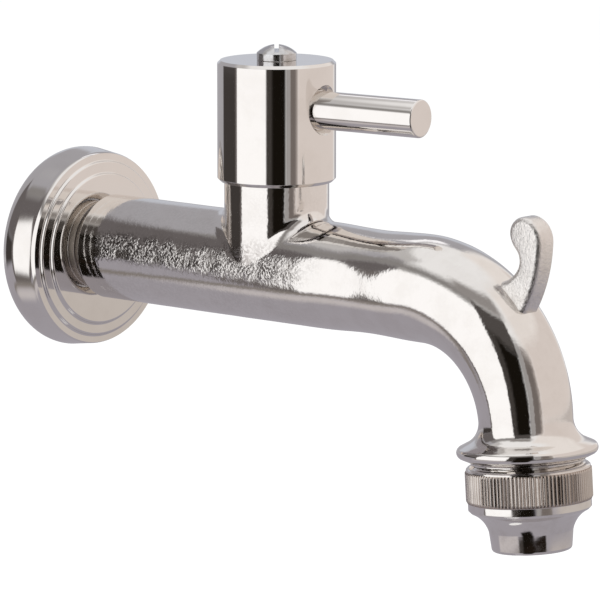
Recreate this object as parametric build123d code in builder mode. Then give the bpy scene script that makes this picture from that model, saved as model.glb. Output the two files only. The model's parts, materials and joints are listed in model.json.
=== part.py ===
from build123d import *
from math import cos, pi, radians, sin
import os

# Wall mounted bib tap with a quarter-turn ceramic disc headwork, a bucket hook on the bend and
# a knurled outlet nozzle. Millimetres. The origin is where the supply tube's axis meets the wall,
# +X runs out from the wall along the tube and +Z is up.

# Clearances
fit_gap = 0.1
thread_gap = 0.15
side_gap = 0.3
sweep_gap = 0.35
hang_gap = 0.9

# Supply tube and inlet
inlet_thread_radius = 10.48
inlet_reach = 5.2
shoulder_x = 14.8
shoulder_round = 0.5
inlet_bore_radius = 6.5
inlet_chamfer = 0.9
tube_radius = 12.6

# Valve neck
valve_x = 68.0
neck_radius = 12.4
neck_top_z = 23.2
neck_blend = 2.6
seat_z = 1.0
seat_hole_radius = 5.6
seat_web = 3.2
seat_well_depth = 10.4
under_seat_radius = 4.0
passage_wall = 2.4
passage_overlap = 4.0
chamber_radius = 10.6
port_radius = 4.4
port_z = 6.4
port_length = 16.0

# Spout and bend
waist_start_offset = 16.0
waist_offset = 31.0
waist_radius = 12.15
spout_bore_radius = 7.8
spout_bore_start = 8.0
bend_offset = 46.5
bend_radius = 29.5
outlet_lean = 4.0
bend_mid_radius = 11.8
bend_end_radius = 10.9
bend_mid_share = 0.42

# Outlet lip and male thread, measured down the outlet axis from the lip
leg_length = 6.7
flare_radius = 5.2
flare_angle = 64.0
lip_radius = 16.3
lip_half_thickness = 1.1
lip_underside = 2.3
outlet_thread_radius = 13.2
outlet_thread_end = 10.0
outlet_bore_radius = 9.0
outlet_bore_length = 14.0

# Bucket hook, measured from the bend's centreline at hook_angle
hook_angle = 45.0
hook_thickness = 6.1
hook_edge = 0.7
hook_reach = 14.6
hook_height = 28.4
hook_foot_x = 9.5
hook_foot_z = 5.7
hook_belly_x = 13.75
hook_belly_z = 16.1
hook_back_z = 22.6
hook_head_width = 9.2
hook_head_z = 23.6
hook_chin_x = 7.0
hook_chin_z = 20.8
hook_crook_x = 7.6
hook_crook_z = 16.4
hook_throat_x = 3.1
hook_throat_z = 13.0

# Wall rosette
rosette_back_inset = 1.6
rosette_rim_radius = 24.2
rosette_side_x = 4.2
rosette_rim_x = 9.8
rosette_sheet = 1.0
rosette_band_x = 10.9
rosette_step = 0.7
rosette_outer_step_radius = 21.4
rosette_inner_step_radius = 18.5
rosette_edge = 1.1
rosette_hole_slack = 1.77

# Headwork
gasket_thickness = 1.2
headwork_lower_radius = 9.2
headwork_cavity_radius = 8.2
headwork_foot_gap = 1.2
headwork_thread_length = 9.9
flange_radius = 12.1
flange_thickness = 2.2
hexagon_flats = 19.0
hexagon_height = 3.8
crown_radius = 6.8
crown_height = 1.8
window_angle = 80.0

# Seat seal and discs
seal_height = 2.2
seal_radius = 8.0
seal_width = 2.2
support_ring_width = 0.7
disc_radius = 7.9
disc_thickness = 3.2
disc_hub_radius = 2.4
disc_port_radius = 6.9
disc_port_angle = 80.0
disc_notch_angle = 84.0
key_width = 3.0
key_radius = 8.75

# Spindle
drive_plate_radius = 6.3
drive_plate_thickness = 2.8
drive_key_width = 2.6
drive_key_length = 11.6
drive_key_depth = 1.4
stop_lug_radius = 7.9
stop_lug_angle = 40.0
stop_clearance_angle = 1.5
turn_angle = 90.0
spindle_radius = 4.5
thrust_washer_thickness = 0.6
o_ring_groove_radius = 3.35
o_ring_groove_width = 1.7
lower_o_ring_z = 17.0
upper_o_ring_z = 21.5
circlip_thickness = 0.8
circlip_radius = 6.0
circlip_groove_depth = 0.7
circlip_gap_angle = 70.0
spline_core_radius = 3.7
spline_tip_radius = 4.0
spline_teeth = 20
spindle_top_z = 44.5

# Handle cap, lever and screw
cap_radius = 14.0
cap_bottom_z = 20.9
cap_top_z = 49.6
cap_ceiling_z = 33.6
cap_top_chamfer = 0.7
cap_bottom_chamfer = 0.8
lever_angle = 6.0
lever_radius = 4.5
lever_z = 38.6
lever_tip = 41.1
lever_seat = 12.2
lever_chamfer = 0.5
lever_recess_radius = 5.3
stud_radius = 3.0
stud_length = 6.0
screw_radius = 2.4
screw_head_radius = 4.7
screw_head_height = 1.7
screw_dome_height = 2.0
screw_end_z = 38.0
screw_slot_width = 1.1
screw_slot_depth = 1.5
screw_slot_angle = -48.0

# Nozzle, measured down the outlet axis from the lip
nozzle_top = 3.5
nozzle_rim_radius = 14.3
nozzle_rim_height = 0.7
nozzle_lead = 0.4
knurl_root_radius = 14.35
knurl_end = 11.6
band_radius = 14.2
band_end = 13.4
band_chamfer = 0.6
taper_lead = 0.45
taper_end = 18.7
spigot_top_radius = 9.7
spigot_radius = 9.2
nozzle_end = 23.2
spigot_round = 0.8
nozzle_shoulder = 13.2
nozzle_ledge = 17.4
nozzle_bore_radius = 7.2

# Pieces inside the nozzle
washer_thickness = 1.8
washer_radius = 12.9
washer_hole_radius = 8.2
screen_thickness = 0.4
screen_radius = 10.6
screen_hole_radius = 0.6
screen_pitch = 2.0
screen_rows = 7
insert_flange_radius = 12.6
insert_flange_thickness = 1.0
insert_radius = 8.6
insert_wall = 1.0
insert_length = 4.6
rib_thickness = 0.7
rib_pitch = 3.2
rib_count = 4

# Places worked out from the sizes
valve_plane = Plane(origin=(valve_x, 0, 0), x_dir=(1, 0, 0), z_dir=(0, 0, 1))
valve_axis = Axis((valve_x, 0, 0), (0, 0, 1))
valve_section = Plane(origin=(valve_x, 0, 0), x_dir=(1, 0, 0), z_dir=(0, -1, 0))
waist_start_x = valve_x + waist_start_offset
waist_x = valve_x + waist_offset
bend_start_x = valve_x + bend_offset
outlet_direction = Vector(sin(radians(outlet_lean)), 0, -cos(radians(outlet_lean)))
outlet_radial = Vector(cos(radians(outlet_lean)), 0, sin(radians(outlet_lean)))
bend_sweep = 90.0 - outlet_lean
bend_end = Vector(
    bend_start_x + bend_radius * sin(radians(bend_sweep)),
    0,
    -bend_radius + bend_radius * cos(radians(bend_sweep)),
)
lip_centre = bend_end + outlet_direction * leg_length
outlet_section = Plane(origin=lip_centre, x_dir=outlet_radial, z_dir=(0, 1, 0))
outlet_axis = Axis(lip_centre, outlet_direction)
thread_bore_radius = outlet_thread_radius + fit_gap + fit_gap

headwork_foot_z = seat_z + headwork_foot_gap
fixed_disc_z = seat_z + seal_height
moving_disc_z = fixed_disc_z + disc_thickness
drive_plate_z = moving_disc_z + disc_thickness
shoulder_z = drive_plate_z + drive_plate_thickness + thrust_washer_thickness
flange_z = neck_top_z + gasket_thickness
hexagon_z = flange_z + flange_thickness
crown_z = hexagon_z + hexagon_height
headwork_top_z = crown_z + crown_height
spindle_bore_radius = spindle_radius + fit_gap


def across_outlet(depth):
    """The plane square to the outlet axis at a depth below the lip."""
    centre = lip_centre + outlet_direction * depth
    return Plane(origin=centre, x_dir=(0, 1, 0), z_dir=outlet_direction)


def level(height):
    """The level plane on the valve's axis at a height."""
    return valve_plane.offset(height)


def sector(inner, outer, centre_angle, angle):
    """A flat ring sector about the origin, from an inner to an outer radius."""
    start = radians(centre_angle - angle / 2)
    middle = radians(centre_angle)
    end = radians(centre_angle + angle / 2)
    with BuildSketch(mode=Mode.PRIVATE) as outline:
        with BuildLine():
            ThreePointArc(
                (outer * cos(start), outer * sin(start)),
                (outer * cos(middle), outer * sin(middle)),
                (outer * cos(end), outer * sin(end)),
            )
            Line((outer * cos(end), outer * sin(end)), (inner * cos(end), inner * sin(end)))
            ThreePointArc(
                (inner * cos(end), inner * sin(end)),
                (inner * cos(middle), inner * sin(middle)),
                (inner * cos(start), inner * sin(start)),
            )
            Line((inner * cos(start), inner * sin(start)), (outer * cos(start), outer * sin(start)))
        make_face()
    return outline.sketch


os.makedirs("parts", exist_ok=True)

# Bucket hook, a flat cast blade with rounded edges, which is added to the body below
hook_x = bend_start_x + bend_radius * sin(radians(hook_angle))
hook_z = -bend_radius + bend_radius * cos(radians(hook_angle))
with BuildPart() as hook:
    with BuildSketch(Plane(origin=(hook_x, 0, hook_z), x_dir=(1, 0, 0), z_dir=(0, -1, 0))):
        with BuildLine():
            back_x = hook_reach - hook_head_width
            front = ThreePointArc(
                (hook_foot_x, hook_foot_z), (hook_belly_x, hook_belly_z), (hook_reach, hook_back_z)
            )
            crown = TangentArc(
                front @ 1, ((hook_reach + back_x) / 2, hook_height), tangent=front % 1
            )
            head = TangentArc(crown @ 1, (back_x, hook_head_z), tangent=crown % 1)
            chin = TangentArc(head @ 1, (hook_chin_x, hook_chin_z), tangent=head % 1)
            waist = TangentArc(chin @ 1, (hook_crook_x, hook_crook_z), tangent=chin % 1)
            throat = TangentArc(waist @ 1, (hook_throat_x, hook_throat_z), tangent=waist % 1)
            Polyline(throat @ 1, (0, 0), front @ 0)
        make_face()
    extrude(amount=hook_thickness / 2, both=True)
    side_edges = hook.edges().group_by(Axis.Y)[0] + hook.edges().group_by(Axis.Y)[-1]
    fillet(side_edges.filter_by(GeomType.CIRCLE), radius=hook_edge)

# Tap body: one casting with the inlet nipple, tube, valve neck, bent spout, lip and hook
with BuildPart() as tap_body:
    with BuildSketch(Plane.YZ.offset(-inlet_reach)):
        Circle(inlet_thread_radius)
    extrude(amount=inlet_reach + shoulder_x)
    chamfer(tap_body.faces().sort_by(Axis.X)[0].edges(), length=inlet_chamfer)
    with BuildSketch(Plane.YZ.offset(shoulder_x)):
        Circle(tube_radius)
    extrude(amount=waist_start_x - shoulder_x)
    tube_end = tap_body.edges().filter_by(GeomType.CIRCLE).group_by(SortBy.RADIUS)[-1].sort_by(Axis.X)[0]
    fillet(tube_end, radius=shoulder_round)
    with BuildSketch(level(0)):
        Circle(neck_radius)
    extrude(amount=neck_top_z)
    saddle = tap_body.edges().filter_by(GeomType.BSPLINE)
    fillet(saddle, radius=neck_blend)
    with BuildSketch(Plane.XZ):
        with BuildLine():
            slim_run = Spline(
                (waist_start_x, tube_radius),
                (waist_x, waist_radius),
                (bend_start_x, tube_radius),
                tangents=((1, 0), (1, 0)),
            )
            Polyline(slim_run @ 1, (bend_start_x, 0), (waist_start_x, 0), slim_run @ 0)
        make_face()
    revolve(axis=Axis.X)

    with BuildLine(Plane.XZ):
        bend = JernArc((bend_start_x, 0), (1, 0), radius=bend_radius, arc_size=-bend_sweep)
    bend_radii = {0: tube_radius, bend_mid_share: bend_mid_radius, 1: bend_end_radius}
    for share, radius in bend_radii.items():
        with BuildSketch(Plane(origin=bend @ share, x_dir=(0, 1, 0), z_dir=bend % share)):
            Circle(radius)
    sweep(path=bend, multisection=True)

    with BuildSketch(outlet_section):
        with BuildLine():
            top = Line((0, -leg_length), (bend_end_radius, -leg_length))
            flare = JernArc(top @ 1, (0, 1), radius=flare_radius, arc_size=-flare_angle)
            rim_radius = lip_radius - lip_half_thickness / 2
            Line(flare @ 1, (rim_radius, -lip_half_thickness))
            ThreePointArc(
                (rim_radius, -lip_half_thickness), (lip_radius, 0), (rim_radius, lip_half_thickness)
            )
            Polyline(
                (rim_radius, lip_half_thickness),
                (outlet_thread_radius, lip_underside),
                (outlet_thread_radius, outlet_thread_end),
                (0, outlet_thread_end),
                (0, -leg_length),
            )
        make_face()
    revolve(axis=outlet_axis)
    add(hook.part)

    # The waterway runs below the seat, up through it, out of the chamber and down the spout
    with BuildSketch(Plane.YZ.offset(-inlet_reach)):
        Circle(inlet_bore_radius)
    inlet_bore_end = valve_x - chamber_radius - passage_wall
    extrude(amount=inlet_reach + inlet_bore_end, mode=Mode.SUBTRACT)
    under_seat_z = seat_z - seat_web - under_seat_radius
    with BuildSketch(Plane.YZ.offset(inlet_bore_end - passage_overlap)):
        with Locations((0, under_seat_z)):
            Circle(under_seat_radius)
    extrude(amount=valve_x - inlet_bore_end + passage_overlap, mode=Mode.SUBTRACT)
    with BuildSketch(level(seat_z)):
        Circle(seat_hole_radius)
    extrude(amount=-seat_well_depth, mode=Mode.SUBTRACT)
    with BuildSketch(level(neck_top_z)):
        Circle(chamber_radius)
    extrude(amount=seat_z - neck_top_z, mode=Mode.SUBTRACT)
    with BuildSketch(Plane.YZ.offset(valve_x)):
        with Locations((0, port_z)):
            Circle(port_radius)
    extrude(amount=port_length, mode=Mode.SUBTRACT)
    with BuildSketch(Plane.YZ.offset(valve_x + spout_bore_start)):
        Circle(spout_bore_radius)
    extrude(amount=bend_offset - spout_bore_start, mode=Mode.SUBTRACT)
    with BuildLine(Plane.XZ):
        bore = JernArc((bend_start_x, 0), (1, 0), radius=bend_radius, arc_size=-bend_sweep)
    with BuildSketch(Plane(origin=bore @ 0, x_dir=(0, 1, 0), z_dir=bore % 0)):
        Circle(spout_bore_radius)
    sweep(path=bore, mode=Mode.SUBTRACT)
    with BuildSketch(across_outlet(-leg_length)):
        Circle(spout_bore_radius)
    extrude(amount=leg_length, mode=Mode.SUBTRACT)
    with BuildSketch(across_outlet(outlet_thread_end)):
        Circle(outlet_bore_radius)
    extrude(amount=-outlet_bore_length, mode=Mode.SUBTRACT)

# Wall rosette, a spun bowl with two raised rings on its face. Its hole is wide, so it hangs on
# the inlet thread between the wall and the tube's shoulder, and clears a thin-walled socket.
with BuildPart() as wall_rosette:
    hole_radius = inlet_thread_radius + rosette_hole_slack
    rosette_z = hang_gap - rosette_hole_slack
    back_radius = rosette_rim_radius - rosette_back_inset
    first_x = rosette_band_x + rosette_step
    face_x = first_x + rosette_step
    with BuildSketch(Plane.XZ.shift_origin((0, 0, rosette_z))):
        with BuildLine():
            outer_back = TangentArc(
                (rosette_side_x, rosette_rim_radius), (0, back_radius), tangent=(-1, 0)
            )
            side = Line(outer_back @ 0, (rosette_rim_x, rosette_rim_radius))
            rim = TangentArc(
                side @ 1, (rosette_band_x, rosette_rim_radius - rosette_edge), tangent=side % 1
            )
            front_steps = Polyline(
                rim @ 1,
                (rosette_band_x, rosette_outer_step_radius),
                (first_x, rosette_outer_step_radius - rosette_step / 2),
                (first_x, rosette_inner_step_radius),
                (face_x, rosette_inner_step_radius - rosette_step / 2),
                (face_x, hole_radius),
                (face_x - rosette_sheet, hole_radius),
                (face_x - rosette_sheet, rosette_inner_step_radius - rosette_step),
                (first_x - rosette_sheet, rosette_inner_step_radius - rosette_step / 2),
                (first_x - rosette_sheet, rosette_outer_step_radius - rosette_step),
                (rosette_band_x - rosette_sheet, rosette_outer_step_radius - rosette_step / 2),
                (rosette_band_x - rosette_sheet, rosette_rim_radius - rosette_edge - rosette_sheet),
                (rosette_rim_x - rosette_sheet, rosette_rim_radius - rosette_sheet),
                (rosette_side_x, rosette_rim_radius - rosette_sheet),
            )
            inner_back = TangentArc(
                front_steps @ 1, (0, back_radius - rosette_sheet), tangent=(-1, 0)
            )
            Line(inner_back @ 1, outer_back @ 1)
        make_face()
    revolve(axis=Axis((0, 0, rosette_z), (1, 0, 0)))

# Headwork: the brass cartridge that screws into the neck and carries spindle and discs
with BuildPart() as headwork_body:
    with BuildSketch(valve_section):
        with BuildLine():
            Polyline(
                (headwork_cavity_radius, headwork_foot_z),
                (headwork_lower_radius, headwork_foot_z),
                (headwork_lower_radius, flange_z - headwork_thread_length),
                (chamber_radius - thread_gap, flange_z - headwork_thread_length),
                (chamber_radius - thread_gap, flange_z),
                (flange_radius, flange_z),
                (flange_radius, hexagon_z),
                (crown_radius, hexagon_z),
                (crown_radius, headwork_top_z),
                (spindle_bore_radius, headwork_top_z),
                (spindle_bore_radius, shoulder_z),
                (headwork_cavity_radius, shoulder_z),
                close=True,
            )
        make_face()
    revolve(axis=valve_axis)
    with BuildSketch(level(hexagon_z)):
        RegularPolygon(radius=hexagon_flats / 2, side_count=6, major_radius=False)
        Circle(spindle_bore_radius, mode=Mode.SUBTRACT)
    extrude(amount=hexagon_height)

    # Two windows let the water out beside the moving disc
    window_inner = headwork_cavity_radius - side_gap
    window_outer = headwork_lower_radius + side_gap
    with BuildSketch(level(moving_disc_z)):
        for side in (0, 180):
            add(sector(window_inner, window_outer, side, window_angle))
    extrude(amount=disc_thickness, mode=Mode.SUBTRACT)

    # Two slots hold the fixed disc's keys
    with BuildSketch(level(headwork_foot_z)):
        for side in (-1, 1):
            with Locations((0, side * headwork_lower_radius)):
                Rectangle(key_width + 2 * fit_gap, headwork_lower_radius)
        Circle(headwork_cavity_radius - side_gap, mode=Mode.SUBTRACT)
    extrude(amount=moving_disc_z - headwork_foot_z, mode=Mode.SUBTRACT)

    # The stop rib leaves the spindle's lug a quarter turn
    lug_room = stop_lug_angle + turn_angle + 2 * stop_clearance_angle
    rib_centre = lever_angle + turn_angle / 2 + 180
    rib_inner = drive_plate_radius + side_gap
    with BuildSketch(level(drive_plate_z)):
        add(sector(rib_inner, headwork_lower_radius, rib_centre, 360 - lug_room))
    extrude(amount=shoulder_z - drive_plate_z)

# Fibre gasket between the neck and the headwork's flange
with BuildPart() as headwork_gasket:
    with BuildSketch(level(neck_top_z)):
        Circle(flange_radius)
        Circle(chamber_radius + thread_gap, mode=Mode.SUBTRACT)
    extrude(amount=gasket_thickness)

# Rubber seal that stands on the seat, and the ring that keeps it from folding inwards
with BuildPart() as seat_seal:
    with BuildSketch(level(seat_z)):
        Circle(seal_radius)
        Circle(seal_radius - seal_width, mode=Mode.SUBTRACT)
    extrude(amount=seal_height)
with BuildPart() as seal_support_ring:
    with BuildSketch(level(headwork_foot_z)):
        Circle(seal_radius - seal_width - fit_gap / 2)
        Circle(seal_radius - seal_width - support_ring_width, mode=Mode.SUBTRACT)
    extrude(amount=fixed_disc_z - headwork_foot_z)

# Fixed ceramic disc with two sector ports and two keys
with BuildPart() as fixed_disc:
    with BuildSketch(level(fixed_disc_z)):
        Circle(disc_radius)
        for side in (-1, 1):
            with Locations((0, side * key_radius / 2)):
                Rectangle(key_width, key_radius)
        for side in (0, 180):
            add(sector(disc_hub_radius, disc_port_radius, side, disc_port_angle), mode=Mode.SUBTRACT)
    extrude(amount=disc_thickness)

# Moving ceramic disc: two solid wings over the ports at rest, with a groove for the spindle's key
with BuildPart() as moving_disc:
    with BuildSketch(level(moving_disc_z)):
        Circle(disc_radius)
        notch_outer = disc_radius + side_gap
        for side in (90, 270):
            add(sector(disc_hub_radius, notch_outer, side, disc_notch_angle), mode=Mode.SUBTRACT)
    extrude(amount=disc_thickness)
    with BuildSketch(level(drive_plate_z)):
        Rectangle(drive_key_length + 2 * fit_gap, drive_key_width + 2 * fit_gap)
    extrude(amount=-drive_key_depth - fit_gap, mode=Mode.SUBTRACT)

# Spindle with drive key, stop lug, ring grooves, circlip groove and splined top
with BuildPart() as spindle:
    groove_half = o_ring_groove_width / 2
    circlip_floor_radius = spindle_radius - circlip_groove_depth
    spline_z = headwork_top_z + circlip_thickness + fit_gap
    with BuildSketch(valve_section):
        with BuildLine():
            Polyline(
                (0, drive_plate_z),
                (drive_plate_radius, drive_plate_z),
                (drive_plate_radius, drive_plate_z + drive_plate_thickness),
                (spindle_radius, drive_plate_z + drive_plate_thickness),
                (spindle_radius, lower_o_ring_z - groove_half),
                (o_ring_groove_radius, lower_o_ring_z - groove_half),
                (o_ring_groove_radius, lower_o_ring_z + groove_half),
                (spindle_radius, lower_o_ring_z + groove_half),
                (spindle_radius, upper_o_ring_z - groove_half),
                (o_ring_groove_radius, upper_o_ring_z - groove_half),
                (o_ring_groove_radius, upper_o_ring_z + groove_half),
                (spindle_radius, upper_o_ring_z + groove_half),
                (spindle_radius, headwork_top_z),
                (circlip_floor_radius, headwork_top_z),
                (circlip_floor_radius, spline_z),
                (spline_core_radius, spline_z),
                (spline_core_radius, spindle_top_z),
                (0, spindle_top_z),
                close=True,
            )
        make_face()
    revolve(axis=valve_axis)
    tooth_height = 2 * (spline_tip_radius - spline_core_radius)
    tooth_width = pi * spline_core_radius / spline_teeth
    with BuildSketch(level(spline_z)):
        with PolarLocations(spline_core_radius, spline_teeth):
            Rectangle(tooth_height, tooth_width)
    extrude(amount=spindle_top_z - spline_z)
    with BuildSketch(level(drive_plate_z)):
        Rectangle(drive_key_length, drive_key_width)
    extrude(amount=-drive_key_depth)
    with BuildSketch(level(drive_plate_z)):
        add(sector(drive_plate_radius / 2, stop_lug_radius, lever_angle, stop_lug_angle))
    extrude(amount=drive_plate_thickness)
    with BuildSketch(level(spindle_top_z)):
        Circle(screw_radius + fit_gap)
    extrude(amount=screw_end_z - spindle_top_z - side_gap, mode=Mode.SUBTRACT)

# Thrust washer between the spindle's plate and the headwork's shoulder
with BuildPart() as thrust_washer:
    with BuildSketch(level(shoulder_z - thrust_washer_thickness)):
        Circle(drive_plate_radius)
        Circle(spindle_radius + sweep_gap, mode=Mode.SUBTRACT)
    extrude(amount=thrust_washer_thickness)


def o_ring(height):
    """An O-ring squeezed between the spindle's groove and the headwork's bore."""
    section_radius = (spindle_bore_radius - o_ring_groove_radius) / 2 - fit_gap / 2
    ring_radius = (spindle_bore_radius + o_ring_groove_radius) / 2
    with BuildPart() as ring:
        with BuildSketch(valve_section):
            with Locations((ring_radius, height)):
                Circle(section_radius)
        revolve(axis=valve_axis)
    return ring


spindle_o_ring_lower = o_ring(lower_o_ring_z)
spindle_o_ring_upper = o_ring(upper_o_ring_z)

# Circlip that keeps the spindle in the headwork
with BuildPart() as spindle_circlip:
    with BuildSketch(level(headwork_top_z)):
        add(sector(circlip_floor_radius + fit_gap, circlip_radius, 180, 360 - circlip_gap_angle))
    extrude(amount=circlip_thickness)

# Handle cap: a cup over the headwork with a solid head for spline, lever and screw
lever_plane = Plane(
    origin=(valve_x, 0, lever_z),
    x_dir=(-sin(radians(lever_angle)), cos(radians(lever_angle)), 0),
    z_dir=(cos(radians(lever_angle)), sin(radians(lever_angle)), 0),
)
with BuildPart() as handle_cap:
    with BuildSketch(level(cap_bottom_z)):
        Circle(cap_radius)
    extrude(amount=cap_top_z - cap_bottom_z)
    chamfer(handle_cap.faces().sort_by(Axis.Z)[-1].edges(), length=cap_top_chamfer)
    chamfer(handle_cap.faces().sort_by(Axis.Z)[0].edges(), length=cap_bottom_chamfer)
    with BuildSketch(level(cap_bottom_z)):
        Circle(neck_radius + sweep_gap)
    extrude(amount=cap_ceiling_z - cap_bottom_z, mode=Mode.SUBTRACT)
    with BuildSketch(level(cap_ceiling_z)):
        Circle(spline_tip_radius + thread_gap)
    extrude(amount=spindle_top_z - cap_ceiling_z, mode=Mode.SUBTRACT)
    with BuildSketch(level(spindle_top_z)):
        Circle(screw_radius + side_gap)
    extrude(amount=cap_top_z - spindle_top_z, mode=Mode.SUBTRACT)
    with BuildSketch(lever_plane.offset(lever_seat)):
        Circle(lever_recess_radius)
    extrude(amount=cap_radius - lever_seat, mode=Mode.SUBTRACT)
    with BuildSketch(lever_plane.offset(lever_seat - stud_length)):
        Circle(stud_radius + fit_gap)
    extrude(amount=stud_length, mode=Mode.SUBTRACT)

# Handle lever: a plain rod with a threaded stud
with BuildPart() as handle_lever:
    with BuildSketch(lever_plane.offset(lever_seat)):
        Circle(lever_radius)
    extrude(amount=lever_tip - lever_seat)
    chamfer(handle_lever.faces().sort_by(Axis.X)[-1].edges(), length=lever_chamfer)
    with BuildSketch(lever_plane.offset(lever_seat)):
        Circle(stud_radius)
    extrude(amount=-stud_length + side_gap)

# Handle screw with a slotted raised head
with BuildPart() as handle_screw:
    dome_z = cap_top_z + screw_head_height
    screw_top_z = dome_z + screw_dome_height
    with BuildSketch(valve_section):
        with BuildLine():
            Polyline(
                (0, screw_top_z),
                (0, screw_end_z),
                (screw_radius, screw_end_z),
                (screw_radius, cap_top_z),
                (screw_head_radius, cap_top_z),
                (screw_head_radius, dome_z),
            )
            dome_radius = (screw_head_radius**2 + screw_dome_height**2) / (2 * screw_dome_height)
            RadiusArc((screw_head_radius, dome_z), (0, screw_top_z), radius=-dome_radius)
        make_face()
    revolve(axis=valve_axis)
    with BuildSketch(level(screw_top_z)):
        Rectangle(2 * cap_radius, screw_slot_width, rotation=screw_slot_angle)
    extrude(amount=-screw_slot_depth, mode=Mode.SUBTRACT)

# Outlet nozzle: a knurled cap nut that tapers to a spigot
with BuildPart() as outlet_nozzle:
    with BuildSketch(outlet_section):
        with BuildLine():
            collar = Polyline(
                (thread_bore_radius + nozzle_lead, nozzle_top),
                (nozzle_rim_radius - nozzle_lead, nozzle_top),
                (nozzle_rim_radius, nozzle_top + nozzle_lead),
                (nozzle_rim_radius, nozzle_top + nozzle_rim_height),
                (knurl_root_radius, nozzle_top + nozzle_rim_height),
                (knurl_root_radius, knurl_end),
                (band_radius, knurl_end),
                (band_radius, band_end),
                (band_radius - band_chamfer, band_end + band_chamfer),
            )
            taper = TangentArc(
                collar @ 1, (spigot_top_radius, taper_end), tangent=(-1, taper_lead)
            )
            spigot_round_z = nozzle_end - spigot_round
            Line(taper @ 1, (spigot_radius, spigot_round_z))
            ThreePointArc(
                (spigot_radius, spigot_round_z),
                (
                    spigot_radius - spigot_round * (1 - cos(radians(45))),
                    spigot_round_z + spigot_round * sin(radians(45)),
                ),
                (spigot_radius - spigot_round, nozzle_end),
            )
            Polyline(
                (spigot_radius - spigot_round, nozzle_end),
                (nozzle_bore_radius, nozzle_end),
                (nozzle_bore_radius, nozzle_ledge),
                (insert_radius + side_gap, nozzle_ledge),
                (insert_radius + side_gap, nozzle_shoulder),
                (thread_bore_radius, nozzle_shoulder),
                (thread_bore_radius, nozzle_top + nozzle_lead),
                (thread_bore_radius + nozzle_lead, nozzle_top),
            )
        make_face()
    revolve(axis=outlet_axis)

# Rubber washer under the outlet's end face
insert_top = outlet_thread_end + washer_thickness + screen_thickness
with BuildPart() as nozzle_washer:
    with BuildSketch(across_outlet(outlet_thread_end)):
        Circle(washer_radius)
        Circle(washer_hole_radius, mode=Mode.SUBTRACT)
    extrude(amount=washer_thickness)

# Steel screen with a grid of holes
with BuildPart() as outlet_screen:
    with BuildSketch(across_outlet(outlet_thread_end + washer_thickness)):
        Circle(screen_radius)
        with GridLocations(screen_pitch, screen_pitch, screen_rows, screen_rows):
            Circle(screen_hole_radius, mode=Mode.SUBTRACT)
    extrude(amount=screen_thickness)

# Flow straightener: a flanged cup crossed by thin ribs
with BuildPart() as flow_straightener:
    with BuildSketch(across_outlet(insert_top)):
        Circle(insert_flange_radius)
    extrude(amount=insert_flange_thickness)
    with BuildSketch(across_outlet(insert_top)):
        Circle(insert_radius)
    extrude(amount=insert_length)
    with BuildSketch(across_outlet(insert_top)):
        Circle(insert_radius - insert_wall)
    extrude(amount=insert_length, mode=Mode.SUBTRACT)
    with BuildSketch(across_outlet(insert_top)):
        with GridLocations(rib_pitch, 0, rib_count, 1):
            Rectangle(rib_thickness, 2 * insert_radius)
        with GridLocations(0, rib_pitch, 1, rib_count):
            Rectangle(2 * insert_radius, rib_thickness)
        Circle(insert_radius - insert_wall / 2, mode=Mode.INTERSECT)
    extrude(amount=insert_length)

pieces = {
    "tap_body": tap_body,
    "wall_rosette": wall_rosette,
    "headwork_body": headwork_body,
    "headwork_gasket": headwork_gasket,
    "seat_seal": seat_seal,
    "seal_support_ring": seal_support_ring,
    "fixed_disc": fixed_disc,
    "moving_disc": moving_disc,
    "spindle": spindle,
    "thrust_washer": thrust_washer,
    "spindle_o_ring_lower": spindle_o_ring_lower,
    "spindle_o_ring_upper": spindle_o_ring_upper,
    "spindle_circlip": spindle_circlip,
    "handle_cap": handle_cap,
    "handle_lever": handle_lever,
    "handle_screw": handle_screw,
    "outlet_nozzle": outlet_nozzle,
    "nozzle_washer": nozzle_washer,
    "outlet_screen": outlet_screen,
    "flow_straightener": flow_straightener,
}
for name, piece in pieces.items():
    piece.part.label = name
    export_step(piece.part, f"parts/{name}.step")
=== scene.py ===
import json
from math import acos, atan2, cos, pi, radians, sin, sqrt, tan
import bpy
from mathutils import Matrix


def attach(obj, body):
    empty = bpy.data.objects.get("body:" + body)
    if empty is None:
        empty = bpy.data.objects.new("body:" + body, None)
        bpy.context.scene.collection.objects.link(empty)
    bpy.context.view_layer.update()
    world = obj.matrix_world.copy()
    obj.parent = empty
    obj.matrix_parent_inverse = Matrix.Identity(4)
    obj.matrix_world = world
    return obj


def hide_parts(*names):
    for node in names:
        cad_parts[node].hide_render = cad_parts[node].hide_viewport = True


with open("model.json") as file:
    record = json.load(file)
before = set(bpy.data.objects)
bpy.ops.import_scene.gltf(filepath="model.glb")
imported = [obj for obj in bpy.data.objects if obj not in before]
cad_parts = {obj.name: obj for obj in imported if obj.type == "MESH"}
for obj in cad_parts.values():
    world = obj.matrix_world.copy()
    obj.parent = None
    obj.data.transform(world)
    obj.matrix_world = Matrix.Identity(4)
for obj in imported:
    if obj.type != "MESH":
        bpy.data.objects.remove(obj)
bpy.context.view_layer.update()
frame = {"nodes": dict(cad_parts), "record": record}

from types import SimpleNamespace

import bmesh
import bpy
import numpy as np
from bpy.props import FloatProperty, FloatVectorProperty, IntProperty, PointerProperty
from mathutils import Vector

bl_info = {
    "name": "Wall Mounted Bib Tap",
    "version": (1, 0, 0),
    "blender": (4, 5, 0),
    "location": "3D View > Sidebar > Bib Tap",
    "description": "Surfaces, finishes and studio for a quarter-turn bib tap with a bucket hook",
    "category": "Add Mesh",
}

MM = 0.001
# Edges over this angle, in degrees, are shaded sharp
SHARP = 35
# Millimetres from the wall: where the cast skin's frost comes and goes, and where the tarnish begins,
# with painted shade of the gap behind the rosette
FROST_START = (20.0, 23.5)
FROST_END = (94.0, 74.0)
TARNISH_AND_SHADE_START = (14.75, 14.35)
# Points for each turn of a pipe thread, and the thread's lead-in at the inlet's mouth
THREAD_STEPS = 11
THREAD_LEAD = 0.9
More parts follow.
